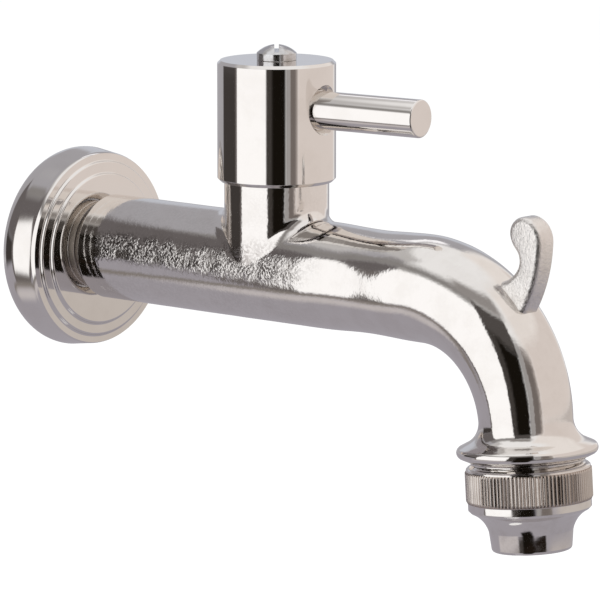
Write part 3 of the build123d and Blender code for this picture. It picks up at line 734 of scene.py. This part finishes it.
def casting_profile(c):
    """The casting's (distance along the centreline, radius), and the lip's distance.

    It runs from the inlet's bore out over the inlet, tube, bend and lip and back up the spout's
    bore. The waist is a squared sine, and the bend slims by a soft-cornered parabola.
    """
    bend_start = c.valve_x + c.bend_offset
    bend_length = c.bend_radius * (pi / 2 - c.outlet_lean)
    bend_end = bend_start + bend_length
    lip = bend_end + c.leg_length
    mouth, crest, tip = -c.inlet_length, c.inlet_radius, lip + c.outlet_end
    inlet = rounded(
        [
            (c.inlet_bore_end, 0),
            (c.inlet_bore_end, c.inlet_bore),
            (mouth, c.inlet_bore),
            (mouth, crest - THREAD_LEAD),
            (mouth + THREAD_LEAD, crest),
            (mouth + 1.2, crest),
        ],
        (1.0, 0.3, 0.15, 0.15),
    )
    pace = c.thread_pitch / THREAD_STEPS
    thread = straight(np.arange(1.25 + mouth, c.shoulder_x - 0.4, pace), crest)
    shoulder = rounded(
        [
            (c.shoulder_x - 0.35, crest),
            (c.shoulder_x, crest),
            (c.shoulder_x, c.tube_radius),
            (c.shoulder_x + 3, c.tube_radius),
        ],
        (0.1, 0.5),
    )
    run = np.arange(c.shoulder_x + 4, bend_start, TUBE_STEP)
    run = np.concatenate((run, np.linspace(bend_start, bend_end, BEND_STEPS)))
    dip = np.sin(np.clip((run - c.waist_start) / (c.waist_end - c.waist_start), 0, 1) * pi) ** 2
    share = np.clip((run - bend_start) / bend_length, 0, 1)
    turned = np.hypot(share, SLIMMING_START) - SLIMMING_START
    slim = turned * (SLIMMING[0] - SLIMMING[1] * turned)
    tube = np.stack((run, c.tube_radius - c.waist_depth * dip - c.bend_slimming * slim), axis=-1)
    leg_radius = c.tube_radius - c.bend_slimming
    flare = arc((bend_end, leg_radius + c.flare_radius), (bend_end, leg_radius), c.flare_angle, 12)
    rim = c.lip_radius - c.lip_half / 2
    edge = ((lip - c.lip_half, rim), (lip, c.lip_radius), (lip + c.lip_half, rim))
    thread_top = lip + c.lip_underside
    under = rounded(
        [edge[-1], (thread_top, c.outlet_radius), (thread_top + 0.3, c.outlet_radius)], (0.15,)
    )
    turns = np.arange(thread_top + 0.32, tip - 0.6, pace)
    bore = rounded(
        [
            (tip - 0.6, c.outlet_radius),
            (tip, c.outlet_radius - 0.8),
            (tip, c.outlet_bore),
            (tip - c.outlet_bore_length, c.outlet_bore),
            (tip - c.outlet_bore_length - 1, c.spout_bore),
            (bend_end - 1, c.spout_bore),
        ],
        (0.15, 0.3, 0.3, 0.3),
    )
    back = straight(np.linspace(bend_end - 1.5, bend_start, 30), c.spout_bore)
    spout = c.valve_x + c.spout_bore_start
    close = rounded([(bend_start, c.spout_bore), (spout, c.spout_bore), (spout, 0)], (1.0,))
    parts = [inlet, thread, shoulder, tube, flare[1:], arc_through(*edge, 14)[0], under]
    parts += [straight(turns, c.outlet_radius), bore, back, close]
    return np.concatenate(parts), lip


def casting_shell(c):
    """The body's outside and its bores: a profile carried along the centreline.

    Each point is the centreline's point plus the radius times Y turned towards the outer normal.
    The pipe threads and slow casting waves are added to the radius.
    """
    profile, lip = casting_profile(c)
    centre, outward = along_path(c, profile[:, 0])
    far, wide = profile[:, :1], profile[:, 1:]
    turn = np.arange(c.columns) * 2 * pi / c.columns
    spoke = np.cos(turn)[None, :, None] * np.array((0, 1, 0))
    spoke = spoke + np.sin(turn)[None, :, None] * outward[:, None]
    inlet = thread_swell(c, THREAD_LEAD - c.inlet_length, 0.6, c.shoulder_x - 2.6, 2.4)
    outlet = thread_swell(c, lip + c.lip_underside + 0.3, 0.3, lip + c.outlet_end - 0.6, 0.6)
    outside = wide > c.inlet_radius - 0.1
    reach = wide + outside * (inlet(far, turn[None]) + outlet(far, turn[None]))
    grid = centre[:, None] + reach[..., None] * spoke
    cast = smooth_step(c.shoulder_x, c.shoulder_x + 8, far) * (1 - smooth_step(lip - 5, lip - 1, far))
    cast = cast * (wide > c.outlet_bore + 0.1)
    return grid + (waves(grid, c.lump_size, c.lump_height) * cast)[..., None] * spoke


def neck_shell(c):
    """The valve neck, with a skirt that blends into the tube.

    Round the valve's axis, at each azimuth, f1 is a point's distance outside the tube and f2 its
    distance outside the neck. The fillet has f1 = r (1 - sin t), f2 = r (1 - cos t), where r
    shrinks with the angle between the two walls, and its height follows from f1.
    """
    azimuth = np.arange(NECK_COLUMNS) * 2 * pi / NECK_COLUMNS
    meeting = np.sin(azimuth) ** 2 * c.neck_radius / c.tube_radius
    blend = c.neck_blend * (1 - np.sqrt((1 + meeting) / 2)) / (1 - sqrt(0.5))
    t = np.linspace(0, pi / 2, FILLET_STEPS + 1)[:, None]
    top, ones = c.neck_top, np.ones((1, NECK_COLUMNS))

    def on_tube(reach, outside):
        """Height of the point at that reach from the valve's axis, outside the tube by so much."""
        inner = (c.tube_radius + outside) ** 2 - (reach * np.sin(azimuth)) ** 2
        return np.sqrt(np.maximum(inner, 1e-6))

    reach = c.neck_radius + blend * (1 - np.cos(t))
    height = on_tube(reach, blend * (1 - np.sin(t)))
    wall_share = np.linspace(0, 1, 22)[:-1, None]
    wall_height = top - 0.45 + (height[:1] - top + 0.45) * wall_share
    inside = [(0, c.seat_height), (c.chamber_radius, c.seat_height), (c.chamber_radius, top)]
    inner = rounded([*inside, (c.neck_radius, top), (c.neck_radius, top - 0.4)], (0.3, 0.2, 0.3))
    last = reach[-1:]
    widest = (c.tube_radius - 0.05) / np.maximum(np.abs(np.sin(azimuth)), 0.1)
    beyond = np.minimum(last + 0.3, widest)
    wall = np.full((len(wall_share), NECK_COLUMNS), c.neck_radius)
    reach = np.concatenate((inner[:, :1] * ones, wall, reach, beyond, last - 0.8, 0 * ones))
    skirt = (on_tube(beyond, -0.04), on_tube(last - 0.8, -2.0), -c.seat_height * ones)
    height = np.concatenate((inner[:, 1:] * ones, wall_height, height, *skirt))
    x = c.valve_x + reach * np.cos(azimuth)
    grid = np.stack((x, reach * np.sin(azimuth), height), axis=-1)
    row = np.arange(len(grid))[:, None]
    turned = np.clip((row - len(inner) - len(wall_share)) / FILLET_STEPS, 0, 1) * pi / 2
    out_way = np.stack((np.cos(azimuth), np.sin(azimuth), 0 * azimuth), axis=-1)
    tube_way = unit(grid * (0, 1, 1) + (0, 0, 1e-9))
    facing = unit(np.cos(turned)[..., None] * out_way + np.sin(turned)[..., None] * tube_way)
    cast = (1 - smooth_step(top - 6, top - 1, height)) * (row >= len(inner)) * (row < len(grid) - 2)
    return grid + (waves(grid, c.lump_size, c.lump_height) * cast)[..., None] * facing


def hook_shell(c, h):
    """The bucket hook: a flat blade with rounded edges, open at both flats.

    Its outline is a chain of arcs that runs on into the bend at both ends. It is drawn inwards by
    e (1 - cos t) where the blade's half thickness is less by e (1 - sin t), for t up to 90 degrees.
    """
    back_x = h.reach - h.head_width
    front, way = arc_through((h.foot_x, h.foot_z), (h.belly_x, h.belly_z), (h.reach, h.back_z), 26)
    outline = [front[:-1]]
    stops = (
        ((h.reach + back_x) / 2, h.height, 18),
        (back_x, h.head_z, 18),
        (h.chin_x, h.chin_z, 10),
        (h.crook_x, h.crook_z, 12),
        (h.throat_x, h.throat_z, 14),
    )
    here = front[-1]
    for x, z, steps in stops:
        piece, way = tangent_arc(here, way, (x, z), steps)
        outline.append(piece[:-1])
        here = piece[-1]
    inwards = -np.array((sin(h.angle), cos(h.angle))) * h.sunk
    outline = np.concatenate(outline + [[here, here + inwards, front[0] + inwards]])
    ahead = unit(np.roll(outline, -1, axis=0) - np.roll(outline, 1, axis=0))
    inward = np.stack((-ahead[:, 1], ahead[:, 0]), axis=-1)
    t = np.linspace(0, pi / 2, 9)
    depth = h.edge * (1 - np.cos(t))
    side = h.thickness / 2 - h.edge * (1 - np.sin(t))
    half = outline[None] + depth[:, None, None] * inward[None]
    plan = np.concatenate((half[::-1], half))
    side = np.concatenate((-side[::-1], side))
    hub_x = c.valve_x + c.bend_offset + c.bend_radius * sin(h.angle)
    hub_z = c.bend_radius * (cos(h.angle) - 1)
    y = np.broadcast_to(side[:, None], plan.shape[:2])
    return np.stack((plan[..., 0] + hub_x, y, plan[..., 1] + hub_z), axis=-1)


class TapOperator:
    """What the operators share."""

    bl_options = {"REGISTER", "UNDO"}


class TAP_OT_finishes(TapOperator, bpy.types.Operator):
    """Build the node groups and the materials of every piece"""

    bl_idname = "tap.finishes"
    bl_label = "Build finishes"

    def execute(self, context):
        build_grain_group()
        build_wear_group()
        build_frost_group()
        f = context.scene.bib_tap.finishes
        plate = (f.nickel, f.nickel_dull, 1)
        skin = ((0.05, 0.11), (1.1, 0.014, 0.3, 0.1), (6, 0.6))
        steel = (f.steel, f.steel_dull, 1)
        acetal = (f.plastic, f.plastic_shade, 0)
        fibre = (f.fibre, f.fibre_pale, 0)
        brass = (f.brass, f.brass_dull, 1)
        rubber = (f.rubber, f.rubber_dust, 0)
        alumina = (f.ceramic, f.ceramic_shade, 0)
        rows = (
            ("nickel", *plate, (0.05, 0.10), (1.4, 0.0012, 0.5, 0.1), (9, 0.5)),
            ("cast_nickel", *plate, *skin),
            ("neck_nickel", *plate, *skin),
            ("hook_nickel", *plate, (0.10, 0.24), (0.55, 0.1, 0.7, 0.15), (3, 0.8)),
            ("knurled_nickel", *plate, (0.06, 0.16), (0.9, 0.004, 0.5, 0.4), (3, 0.9)),
            ("steel_screw", *steel, (0.14, 0.32), (0.5, 0.004, 0.6, 0.3), (2, 0.8)),
            ("spring_steel", *steel, (0.22, 0.40), (0.4, 0.004, 0.6, 0.3), (2, 0.8)),
            ("raw_brass", *brass, (0.22, 0.42), (0.5, 0.006, 0.6, 0.2), (4, 0.8)),
            ("ring_rubber", *rubber, (0.42, 0.66), (0.4, 0.01, 0.7, 0.1), (2, 0.8)),
            ("gasket_fibre", *fibre, (0.74, 0.9), (0.35, 0.03, 0.8, 0.2), (1.5, 0.9)),
            ("white_ceramic", *alumina, (0.16, 0.3), (0.3, 0.002, 0.6, 0.1), (1.2, 0.7)),
            ("washer_plastic", *acetal, (0.36, 0.5), (0.6, 0.006, 0.5, 0.1), (3, 0.6)),
            ("insert_plastic", *acetal, (0.32, 0.5), (0.6, 0.006, 0.5, 0.1), (3, 0.6)),
        )
        for row in rows:
            add_finish(*row)
        cast, neck = finish_of("cast_nickel"), finish_of("neck_nickel")
        add_frost(cast, size=0.62, height=0.16, level=2.3, half=3.1, rough=0.05, pit_tone=f.dark_pit_tone)
        # Tarnish, with painted shade of the gap behind the rosette, on the inlet and the tube's end
        add_tarnish_and_shade(cast, f.thread_tarnish_and_shade, roughness=0.3)
        add_frost(neck, size=0.6, height=0.05, level=0.5, half=6.5, rough=0.05, pit_tone=f.neck_pit_tone)
        add_grime(finish_of("knurled_nickel"), "groove", f.knurl_grime, roughness=0.3)
        return {"FINISHED"}


class TAP_OT_inner_parts(TapOperator, bpy.types.Operator):
    """Give each node that stays as the frame has it the finish of its material slot"""

    bl_idname = "tap.inner_parts"
    bl_label = "Finish inner parts"

    def execute(self, context):
        slots = {row["node"]: row["material_slot"] for row in frame["record"]["subparts"]}
        for name, node in frame["nodes"].items():
            node.data.materials.clear()
            node.data.materials.append(finish_of(slots[name]))
        return {"FINISHED"}


class TAP_OT_casting(TapOperator, bpy.types.Operator):
    """Build the cast body with its neck and bucket hook"""

    bl_idname = "tap.casting"
    bl_label = "Build casting"

    def execute(self, context):
        c = values(context.scene.bib_tap.casting)
        h = values(context.scene.bib_tap.hook)
        shell = mesh_of("cast_body", casting_shell(c))
        add_piece("cast_body", shell, "cast_nickel", "tap", "cast_nickel", "tap_body")
        neck = mesh_of("valve_neck", neck_shell(c))
        add_piece("valve_neck", neck, "neck_nickel", "tap", "cast_nickel", "tap_body")
        hook = cleaned(mesh_of("bucket_hook", hook_shell(c, h)), SHARP, ends=True)
        add_piece("bucket_hook", hook, "hook_nickel", "tap", "cast_nickel", "tap_body")
        return {"FINISHED"}


class TAP_OT_rosette(TapOperator, bpy.types.Operator):
    """Build the wall rosette"""

    bl_idname = "tap.rosette"
    bl_label = "Build rosette"

    def execute(self, context):
        r = values(context.scene.bib_tap.rosette)
        first, face = r.band_x + r.step, r.band_x + 2 * r.step
        mouth, inner, half = r.rim_radius - r.taper, r.rim_radius - r.sheet, r.step / 2
        outer_back = tangent_arc((r.side_x, r.rim_radius), (-1, 0), (0, r.back_radius), 14)[0]
        inner_back = tangent_arc((r.side_x, inner), (-1, 0), (0, r.back_radius - r.sheet), 12)[0]
        rim = tangent_arc((r.rim_x, mouth), (1, 0), (r.band_x, r.rim_radius - r.edge), 10)[0]
        outside_corners = (0.52, 0.53, 0.52, 0.53, 0.25)
        inside_corners = (0.2, 0.3, 0.3, 0.3, 0.3, 0.4, 0.6)
        front = rounded(
            [
                rim[-1],
                (r.band_x, r.outer_step),
                (first, r.outer_step - half),
                (first, r.inner_step),
                (face, r.inner_step - half),
                (face, r.hole_radius),
                (face - r.sheet, r.hole_radius),
                (face - r.sheet, r.inner_step - r.step),
                (first - r.sheet, r.inner_step - half),
                (first - r.sheet, r.outer_step - r.step),
                (r.band_x - r.sheet, r.outer_step - half),
                (r.band_x - r.sheet, r.rim_radius - r.edge - r.sheet),
                (r.rim_x - r.sheet, mouth - r.sheet),
                (r.side_x, inner),
            ],
            (*outside_corners, *inside_corners),
            steps=6,
        )
        side = np.linspace(outer_back[0], rim[0], 8)[1:-1]
        profile = np.concatenate((outer_back[::-1], side, rim, front[1:-1], inner_back))
        grid = revolved(profile, (0, 0, 0), (1, 0, 0), (0, 0, 1), ROSETTE_COLUMNS)
        grid[..., 2] += r.height * smooth_step(r.hole_radius, r.inner_step, profile[:, 1:])
        mesh = mesh_of("rosette", grid, closed=True, sharp=50)
        add_piece("rosette", mesh, "nickel", "rosette", "nickel", "wall_rosette")
        return {"FINISHED"}


class TAP_OT_handle(TapOperator, bpy.types.Operator):
    """Build the handle's cap, lever and screw"""

    bl_idname = "tap.handle"
    bl_label = "Build handle"

    def execute(self, context):
        c = values(context.scene.bib_tap.casting)
        h = values(context.scene.bib_tap.handle)
        foot, up, out = (c.valve_x, 0, 0), (0, 0, 1), (1, 0, 0)
        lever_way = np.array((cos(h.lever_angle), sin(h.lever_angle), 0))
        hub = np.array((c.valve_x, 0, h.lever_z))
        cap = rounded(
            [
                (h.cap_bottom, h.cap_inner),
                (h.cap_bottom, h.cap_radius - h.bottom_chamfer),
                (h.cap_bottom + h.bottom_chamfer, h.cap_radius),
                (h.cap_top - h.top_chamfer, h.cap_radius),
                (h.cap_top, h.cap_radius - h.top_chamfer),
                (h.cap_top, h.screw_hole),
                (h.spindle_top, h.screw_hole),
                (h.spindle_top, h.spline_radius),
                (h.cap_ceiling, h.spline_radius),
                (h.cap_ceiling, h.cap_inner),
            ],
            (0.15, 0.12, 0.15, 0.12, 0.12, 0.1, 0, 0, 0, 0.3),
            steps=3,
            closed=True,
        )
        cap_mesh = mesh_of("handle_cap_turned", revolved(cap, foot, up, out, h.columns), closed=True)
        mouth, clear = (h.cap_radius + 0.6, h.recess_radius + 0.9), h.cap_radius + 6
        dish = tangent_arc((h.lever_seat, h.lever_radius + 0.15), (1, 1), mouth, 10)[0]
        pocket = np.concatenate(([(h.lever_seat, 0)], dish, [(clear, mouth[1]), (clear, 0)]))
        hole, stem_start, stem_end = h.stud_radius + 0.1, 6.0, 13.0
        stem = np.array([(stem_start, 0), (stem_start, hole), (stem_end, hole), (stem_end, 0)])
        for tool in (pocket, stem):
            cutter = revolved(tool, hub, lever_way, up, CUTTER_COLUMNS)
            cutter = mesh_of("pocket_cutter", cutter)
            cap_mesh = carved(cap_mesh, cutter)
        cap_mesh.name = "handle_cap_turned"
        add_piece("cap", cap_mesh, "nickel", "handle", "nickel", "handle_cap")

        stud_end = h.lever_seat - h.stud_length
        rod = rounded(
            [
                (stud_end, 0),
                (stud_end, h.stud_radius),
                (h.lever_seat, h.stud_radius),
                (h.lever_seat, h.lever_radius),
                (h.lever_tip, h.lever_radius),
                (h.lever_tip, 0),
            ],
            (0.3, 0, 0.15, h.lever_chamfer),
            steps=6,
        )
        lever = mesh_of("lever", revolved(rod, hub, lever_way, up, ROD_COLUMNS))
        add_piece("lever", lever, "nickel", "handle", "nickel", "handle_lever")

        dome = h.cap_top + h.head_height
        peak = dome + h.dome_height
        side = rounded(
            [
                (h.screw_end, 0),
                (h.screw_end, h.screw_radius),
                (h.cap_top, h.screw_radius),
                (h.cap_top, h.head_radius),
                (dome, h.head_radius),
            ],
            (0.4, 0, 0.15),
        )
        shoulder = (dome + h.dome_height * 0.75, h.head_radius * 0.5)
        crown = arc_through((dome, h.head_radius), shoulder, (peak, 0), 12)[0]
        body = revolved(np.concatenate((side, crown[1:])), foot, up, out, ROD_COLUMNS)
        slot_way = np.array((cos(h.slot_angle), sin(h.slot_angle), 0))
        slot_side = np.array((-slot_way[1], slot_way[0], 0))
        plan = SQUARE[:, :1] * 6 * slot_way + SQUARE[:, 1:] * h.slot_width / 2 * slot_side
        levels = [peak - h.slot_depth, peak - h.slot_depth, peak + 2, peak + 2]
        box = np.stack([plan * (k in (1, 2)) + (c.valve_x, 0, z) for k, z in enumerate(levels)])
        screw = carved(mesh_of("screw_turned", body), mesh_of("slot_cutter", box))
        screw.name = "screw_turned"
        add_piece("screw", screw, "steel_screw", "handle", "steel_screw", "handle_screw")
        return {"FINISHED"}


class TAP_OT_nozzle(TapOperator, bpy.types.Operator):
    """Build the knurled outlet nozzle"""

    bl_idname = "tap.nozzle"
    bl_label = "Build nozzle"

    def execute(self, context):
        n = values(context.scene.bib_tap.nozzle)
        lip, axis, across = outlet_frame(values(context.scene.bib_tap.casting))
        knurl_top = n.top + n.rim_height
        collar = rounded(
            [
                (n.top + n.lead, n.thread_bore),
                (n.top, n.thread_bore + n.lead),
                (n.top, n.rim_radius - n.lead),
                (n.top + n.lead, n.rim_radius),
                (knurl_top - 0.15, n.rim_radius),
                (knurl_top, n.knurl_root),
            ],
            (0, 0, 0.1, 0.1),
            steps=3,
        )
        knurl = straight(np.linspace(knurl_top + 0.12, n.knurl_end - 0.12, 26), n.knurl_root)
        band = rounded(
            [
                (n.knurl_end, n.knurl_root),
                (n.knurl_end + 0.12, n.band_radius),
                (n.band_end, n.band_radius),
                (n.band_end + n.band_chamfer, n.band_radius - n.band_chamfer),
            ],
            (0.08, 0.2),
            steps=3,
        )
        taper = tangent_arc(band[-1], (n.taper_lead, -1), (n.taper_end, n.spigot_top), 18)[0]
        spigot = rounded(
            [
                taper[-1],
                (n.end, n.spigot_radius),
                (n.end, n.bore_radius),
                (n.ledge, n.bore_radius),
                (n.ledge, n.insert_room),
                (n.shoulder, n.insert_room),
                (n.shoulder, n.thread_bore),
                (n.top + n.lead, n.thread_bore),
            ],
            (n.spigot_round, 0.3, 0.2, 0, 0.2, 0),
            steps=6,
        )
        profile = np.concatenate((collar, knurl, band, taper[1:], spigot[1:-1]))

        def teeth(along, radius, turn):
            """Ridges: a triangle wave round the nozzle, a little uneven, between the ends."""
            place = turn * n.knurl_teeth / (2 * pi)
            place = place + 0.12 * np.sin(7 * turn) + 0.09 * np.sin(19 * turn)
            ridge = 1 - 2 * np.abs(place % 1 - 0.5)
            ends = smooth_step(knurl_top, knurl_top + 0.5, along)
            ends = ends * (1 - smooth_step(n.knurl_end - 0.5, n.knurl_end, along))
            outside = radius > n.thread_bore + 0.2
            return (n.knurl_tip - n.knurl_root) * ends * outside * ridge

        grid = revolved(profile, lip, axis, across, n.knurl_teeth * TOOTH_COLUMNS, teeth)
        mesh = mesh_of("nozzle", grid, closed=True, sharp=50)
        points = np.empty(len(mesh.vertices) * 3, np.float32)
        mesh.vertices.foreach_get("co", points)
        arm = points.reshape(-1, 3) / MM - lip
        down = arm @ axis
        reach = np.linalg.norm(arm - down[:, None] * axis, axis=1)
        sunk = 1 - np.clip((reach - n.knurl_root) / (n.knurl_tip - n.knurl_root), 0, 1)
        sunk = sunk * (reach > n.knurl_root - 0.02) * (down > knurl_top) * (down < n.knurl_end)
        groove = mesh.attributes.new("groove", "FLOAT", "POINT")
        groove.data.foreach_set("value", (0.25 + 0.75 * sunk) * (sunk > 0))
        add_piece("nozzle", mesh, "knurled_nickel", "nozzle", "knurled_nickel", "outlet_nozzle")
        return {"FINISHED"}


# Panels of the reflection dome: centre and half width of azimuth and then of elevation from the
# camera, softness of the upright and of the level edges, all in degrees, and colour
PANELS = (
    ("far wall", -147.5, 62.5, 22, 32, 6, 5, (0.427, 0.417, 0.443)),
    ("bright strip behind", 180, 14, 47, 4, 3, 2, (1.152, 1.146, 1.184)),
    ("shelf behind", 180, 22, 15, 9, 4, 4, (0.585, 0.604, 0.663)),
    ("gap over the softbox", -62, 44, 43, 7, 4, 7, (0.279, 0.265, 0.259)),
    ("dark room", -103.5, 20.5, 22, 17, 1.5, 3, (0.153, 0.138, 0.139)),
    ("dark doorway", -104, 20, -3, 8, 2, 3, (0.056, 0.049, 0.046)),
    ("dim ceiling behind", -122, 42, 57, 5.5, 8, 4, (0.59, 0.575, 0.57)),
    ("softbox frame", -84.5, 2.5, -2, 27, 0.8, 3, (0.159, 0.141, 0.136)),
    ("softbox", -52, 30.5, 5, 30.5, 1.2, 3, (1.206, 1.2, 1.206)),
    ("line under the softbox", -62, 42, -29, 2.5, 3, 2.5, (0.243, 0.217, 0.2)),
    ("glow under the softbox", -60, 38, -36, 4.5, 5, 4, (0.614, 0.574, 0.579)),
    ("flag stand", -8, 30, 50, 8, 8, 5, (0.328, 0.308, 0.298)),
    ("flag top", -2, 20, 31, 11, 2, 3, (0.09, 0.081, 0.077)),
    ("flag edge", -11.5, 9.5, -5, 30, 1.5, 3, (0.06, 0.053, 0.049)),
    ("light strip", 21.5, 3.5, 4, 26, 0.7, 4, (0.398, 0.382, 0.378)),
    ("grey flag", 33, 8, 2, 26, 1.5, 4, (0.195, 0.168, 0.156)),
    ("grey flag's foot", 33, 9, -21, 6, 2, 3, (0.298, 0.274, 0.259)),
    ("black flag", 3.5, 13.5, -15, 38, 3.5, 3, (0.009, 0.007, 0.005)),
    ("flag foot", 17, 25, -25.5, 3.5, 2, 1, (0.016, 0.011, 0.008)),
    ("warm ceiling", 90, 60, 44, 20, 8, 8, (0.932, 0.877, 0.841)),
    ("warm wall", 92, 52.5, 10, 20, 6, 5, (0.788, 0.712, 0.671)),
    ("warm corner", 96, 46, -16, 7, 8, 4, (0.614, 0.56, 0.522)),
)
FLOOR_TONE = (0.392, 0.371, 0.407)
ROOM_TONE = (0.979, 0.972, 0.974)
# Degrees of elevation where the room meets the floor, and the dome's steps and its open caps
HORIZON = (-10, -8)
DOME_STEP = 0.75
DOME_TOP = 84
# Half the floor's side in metres, how much the camera sees it glow, and the room's light
FLOOR_REACH = 8.0
FLOOR_GLOW = 0.5
ROOM_LIGHT = 0.75
# The lamp's width and place in metres, and the camera's film in millimetres and reach in metres
LAMP_WIDTH = 0.7
LAMP_PLACE = (-0.25, -0.75, 1.15)
FILM_WIDTH = 36
CAMERA_REACH = (0.05, 60)


def studio_tones(azimuth, elevation):
    """The dome's colour by direction: room over floor, then each panel with soft edges."""
    horizon = smooth_step(*HORIZON, elevation)[..., None]
    tones = np.array(FLOOR_TONE) * (1 - horizon) + np.array(ROOM_TONE) * horizon
    for _, centre, half, level, tall, blur, haze, tone in PANELS:
        off = np.abs((azimuth - centre + 180) % 360 - 180)
        inside = 1 - smooth_step(half - blur, half + blur, off)
        inside = inside * (1 - smooth_step(tall - haze, tall + haze, np.abs(elevation - level)))
        tones = tones + (np.array(tone) - tones) * inside[..., None]
    return tones


def heading(azimuth, elevation):
    """The direction at an azimuth from -Y towards +X and an elevation, in radians."""
    flat = np.cos(elevation)
    return np.stack((np.sin(azimuth) * flat, -np.cos(azimuth) * flat, np.sin(elevation)), axis=-1)


def stage_mesh(name, points, faces, material):
    """A mesh object for the stage and its new material, whose tree is cleared to its output."""
    mesh = bpy.data.meshes.new(name)
    mesh.from_pydata(points.tolist(), [], faces.tolist())
    made = bpy.data.materials.new(material)
    made.use_nodes = True
    made.node_tree.nodes.remove(made.node_tree.nodes["Principled BSDF"])
    mesh.materials.append(made)
    return add_object(name, mesh), made


def pale_ray(tree):
    """1 for camera, glossy and transmission rays, else 0."""
    rays = add_node(tree, "LightPath").outputs
    seen = reckoned(tree, "ADD", rays["Is Camera Ray"], rays["Is Glossy Ray"])
    return reckoned(tree, "ADD", seen, rays["Is Transmission Ray"], use_clamp=True)


def add_floor(s):
    """A pale floor: it shows the tap's shadow, and light added for the camera makes it white."""
    corners = np.column_stack((SQUARE * FLOOR_REACH, np.full(4, s.floor_z)))
    floor, material = stage_mesh("floor", corners, np.arange(4)[None], "pale_floor")
    tree = material.node_tree
    matt = add_node(tree, "BsdfDiffuse", {"Color": (*s.floor_colour, 1)})
    level = product(tree, pale_ray(tree), FLOOR_GLOW)
    glow = add_node(tree, "Emission", {"Color": (1, 1, 1, 1), "Strength": level})
    both = add_node(tree, "AddShader", {0: matt.outputs[0], 1: glow.outputs[0]})
    tree.links.new(both.outputs[0], tree.nodes["Material Output"].inputs["Surface"])
    floor.visible_glossy = False


def add_world(s):
    """A world that is white to see and pale as light."""
    world = bpy.data.worlds.new("pale_room")
    world.use_nodes = True
    tree = world.node_tree
    seen = add_node(tree, "Background", {"Color": (1, 1, 1, 1), "Strength": 1.0})
    light = tree.nodes["Background"]
    light.inputs["Color"].default_value = (*s.world_colour, 1)
    light.inputs["Strength"].default_value = ROOM_LIGHT
    shaders = {0: pale_ray(tree), 1: light.outputs[0], 2: seen.outputs[0]}
    mix = add_node(tree, "MixShader", shaders)
    tree.links.new(mix.outputs[0], tree.nodes["World Output"].inputs["Surface"])
    bpy.context.scene.world = world


def add_dome(s):
    """A sphere that only reflections see, with the studio's panels as colours at its points."""
    azimuth, elevation = np.meshgrid(
        np.arange(-180, 180, DOME_STEP), np.arange(-DOME_TOP, DOME_TOP + 1, DOME_STEP)
    )
    ball = heading(np.radians(azimuth) + s.azimuth, np.radians(elevation)).reshape(-1, 3)
    points = np.array((s.target_x, 0, 0)) + ball * s.dome_radius
    faces = quads_of(*azimuth.shape, False)
    dome, material = stage_mesh("reflection_dome", points, faces, "studio_panels")
    tones = studio_tones(azimuth, elevation).reshape(-1, 3)
    tones = np.concatenate((tones, np.ones((len(tones), 1))), axis=1)
    painted = dome.data.color_attributes.new("tone", "FLOAT_COLOR", "POINT")
    painted.data.foreach_set("color", tones.astype(np.float32).ravel())
    tree = material.node_tree
    tone = add_node(tree, "Attribute", attribute_name="tone")
    glow = add_node(tree, "Emission", {"Color": tone.outputs["Color"], "Strength": 1.0})
    tree.links.new(glow.outputs[0], tree.nodes["Material Output"].inputs["Surface"])
    material.cycles.emission_sampling = "NONE"
    dome.visible_camera = dome.visible_diffuse = dome.visible_shadow = False
    dome.visible_transmission = False


class TAP_OT_studio(TapOperator, bpy.types.Operator):
    """Build the camera, floor, lamp, world and reflection dome"""

    bl_idname = "tap.studio"
    bl_label = "Build studio"

    def execute(self, context):
        s = context.scene.bib_tap.studio
        context.scene.view_settings.view_transform = "Standard"
        back = Vector(heading(s.azimuth, s.elevation))
        target = Vector((s.target_x, 0, s.target_z))
        lens = bpy.data.cameras.new("camera")
        lens.lens, lens.sensor_width = s.focal, FILM_WIDTH
        lens.clip_start, lens.clip_end = CAMERA_REACH
        camera = add_object("camera", lens)
        camera.location = target + back * s.distance
        camera.rotation_euler = (-back).to_track_quat("-Z", "Y").to_euler()
        context.scene.camera = camera
        add_floor(s)
        add_world(s)
        add_dome(s)
        lamp = bpy.data.lights.new("key_lamp", "AREA")
        lamp.shape, lamp.size, lamp.energy = "DISK", LAMP_WIDTH, s.lamp_power
        key = add_object("key_lamp", lamp)
        key.location = LAMP_PLACE
        key.rotation_euler = (target - key.location).to_track_quat("-Z", "Y").to_euler()
        key.visible_glossy = False
        return {"FINISHED"}


class TAP_PT_sidebar(bpy.types.Panel):
    """The sidebar panel with the steps and the settings"""

    bl_label = "Bib Tap"
    bl_idname = "TAP_PT_sidebar"
    bl_space_type = "VIEW_3D"
    bl_region_type = "UI"
    bl_category = "Bib Tap"

    def draw(self, context):
        for operator in STEPS:
            self.layout.operator(operator.bl_idname)
        settings = context.scene.bib_tap
        for part in settings.__annotations__:
            box = self.layout.box()
            box.label(text=part.capitalize())
            group = getattr(settings, part)
            for name in group.__annotations__:
                box.prop(group, name)


STEPS = (
    TAP_OT_finishes,
    TAP_OT_inner_parts,
    TAP_OT_casting,
    TAP_OT_rosette,
    TAP_OT_handle,
    TAP_OT_nozzle,
    TAP_OT_studio,
)
SIZE_GROUPS = (CastingSizes, HookSizes, RosetteSizes, HandleSizes, NozzleSizes)
CLASSES = (*SIZE_GROUPS, Finishes, StudioSettings, BibTapSettings, *STEPS, TAP_PT_sidebar)


def register():
    """Registers the classes and hangs the settings on the scene."""
    for item in CLASSES:
        bpy.utils.register_class(item)
    bpy.types.Scene.bib_tap = PointerProperty(type=BibTapSettings)


def unregister():
    """Takes the settings and the classes away again."""
    del bpy.types.Scene.bib_tap
    for item in reversed(CLASSES):
        bpy.utils.unregister_class(item)


def main():
    """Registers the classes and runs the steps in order."""
    register()
    bpy.ops.tap.finishes()
    bpy.ops.tap.inner_parts()
    bpy.ops.tap.casting()
    bpy.ops.tap.rosette()
    bpy.ops.tap.handle()
    bpy.ops.tap.nozzle()
    bpy.ops.tap.studio()


if __name__ == "__main__":
    main()
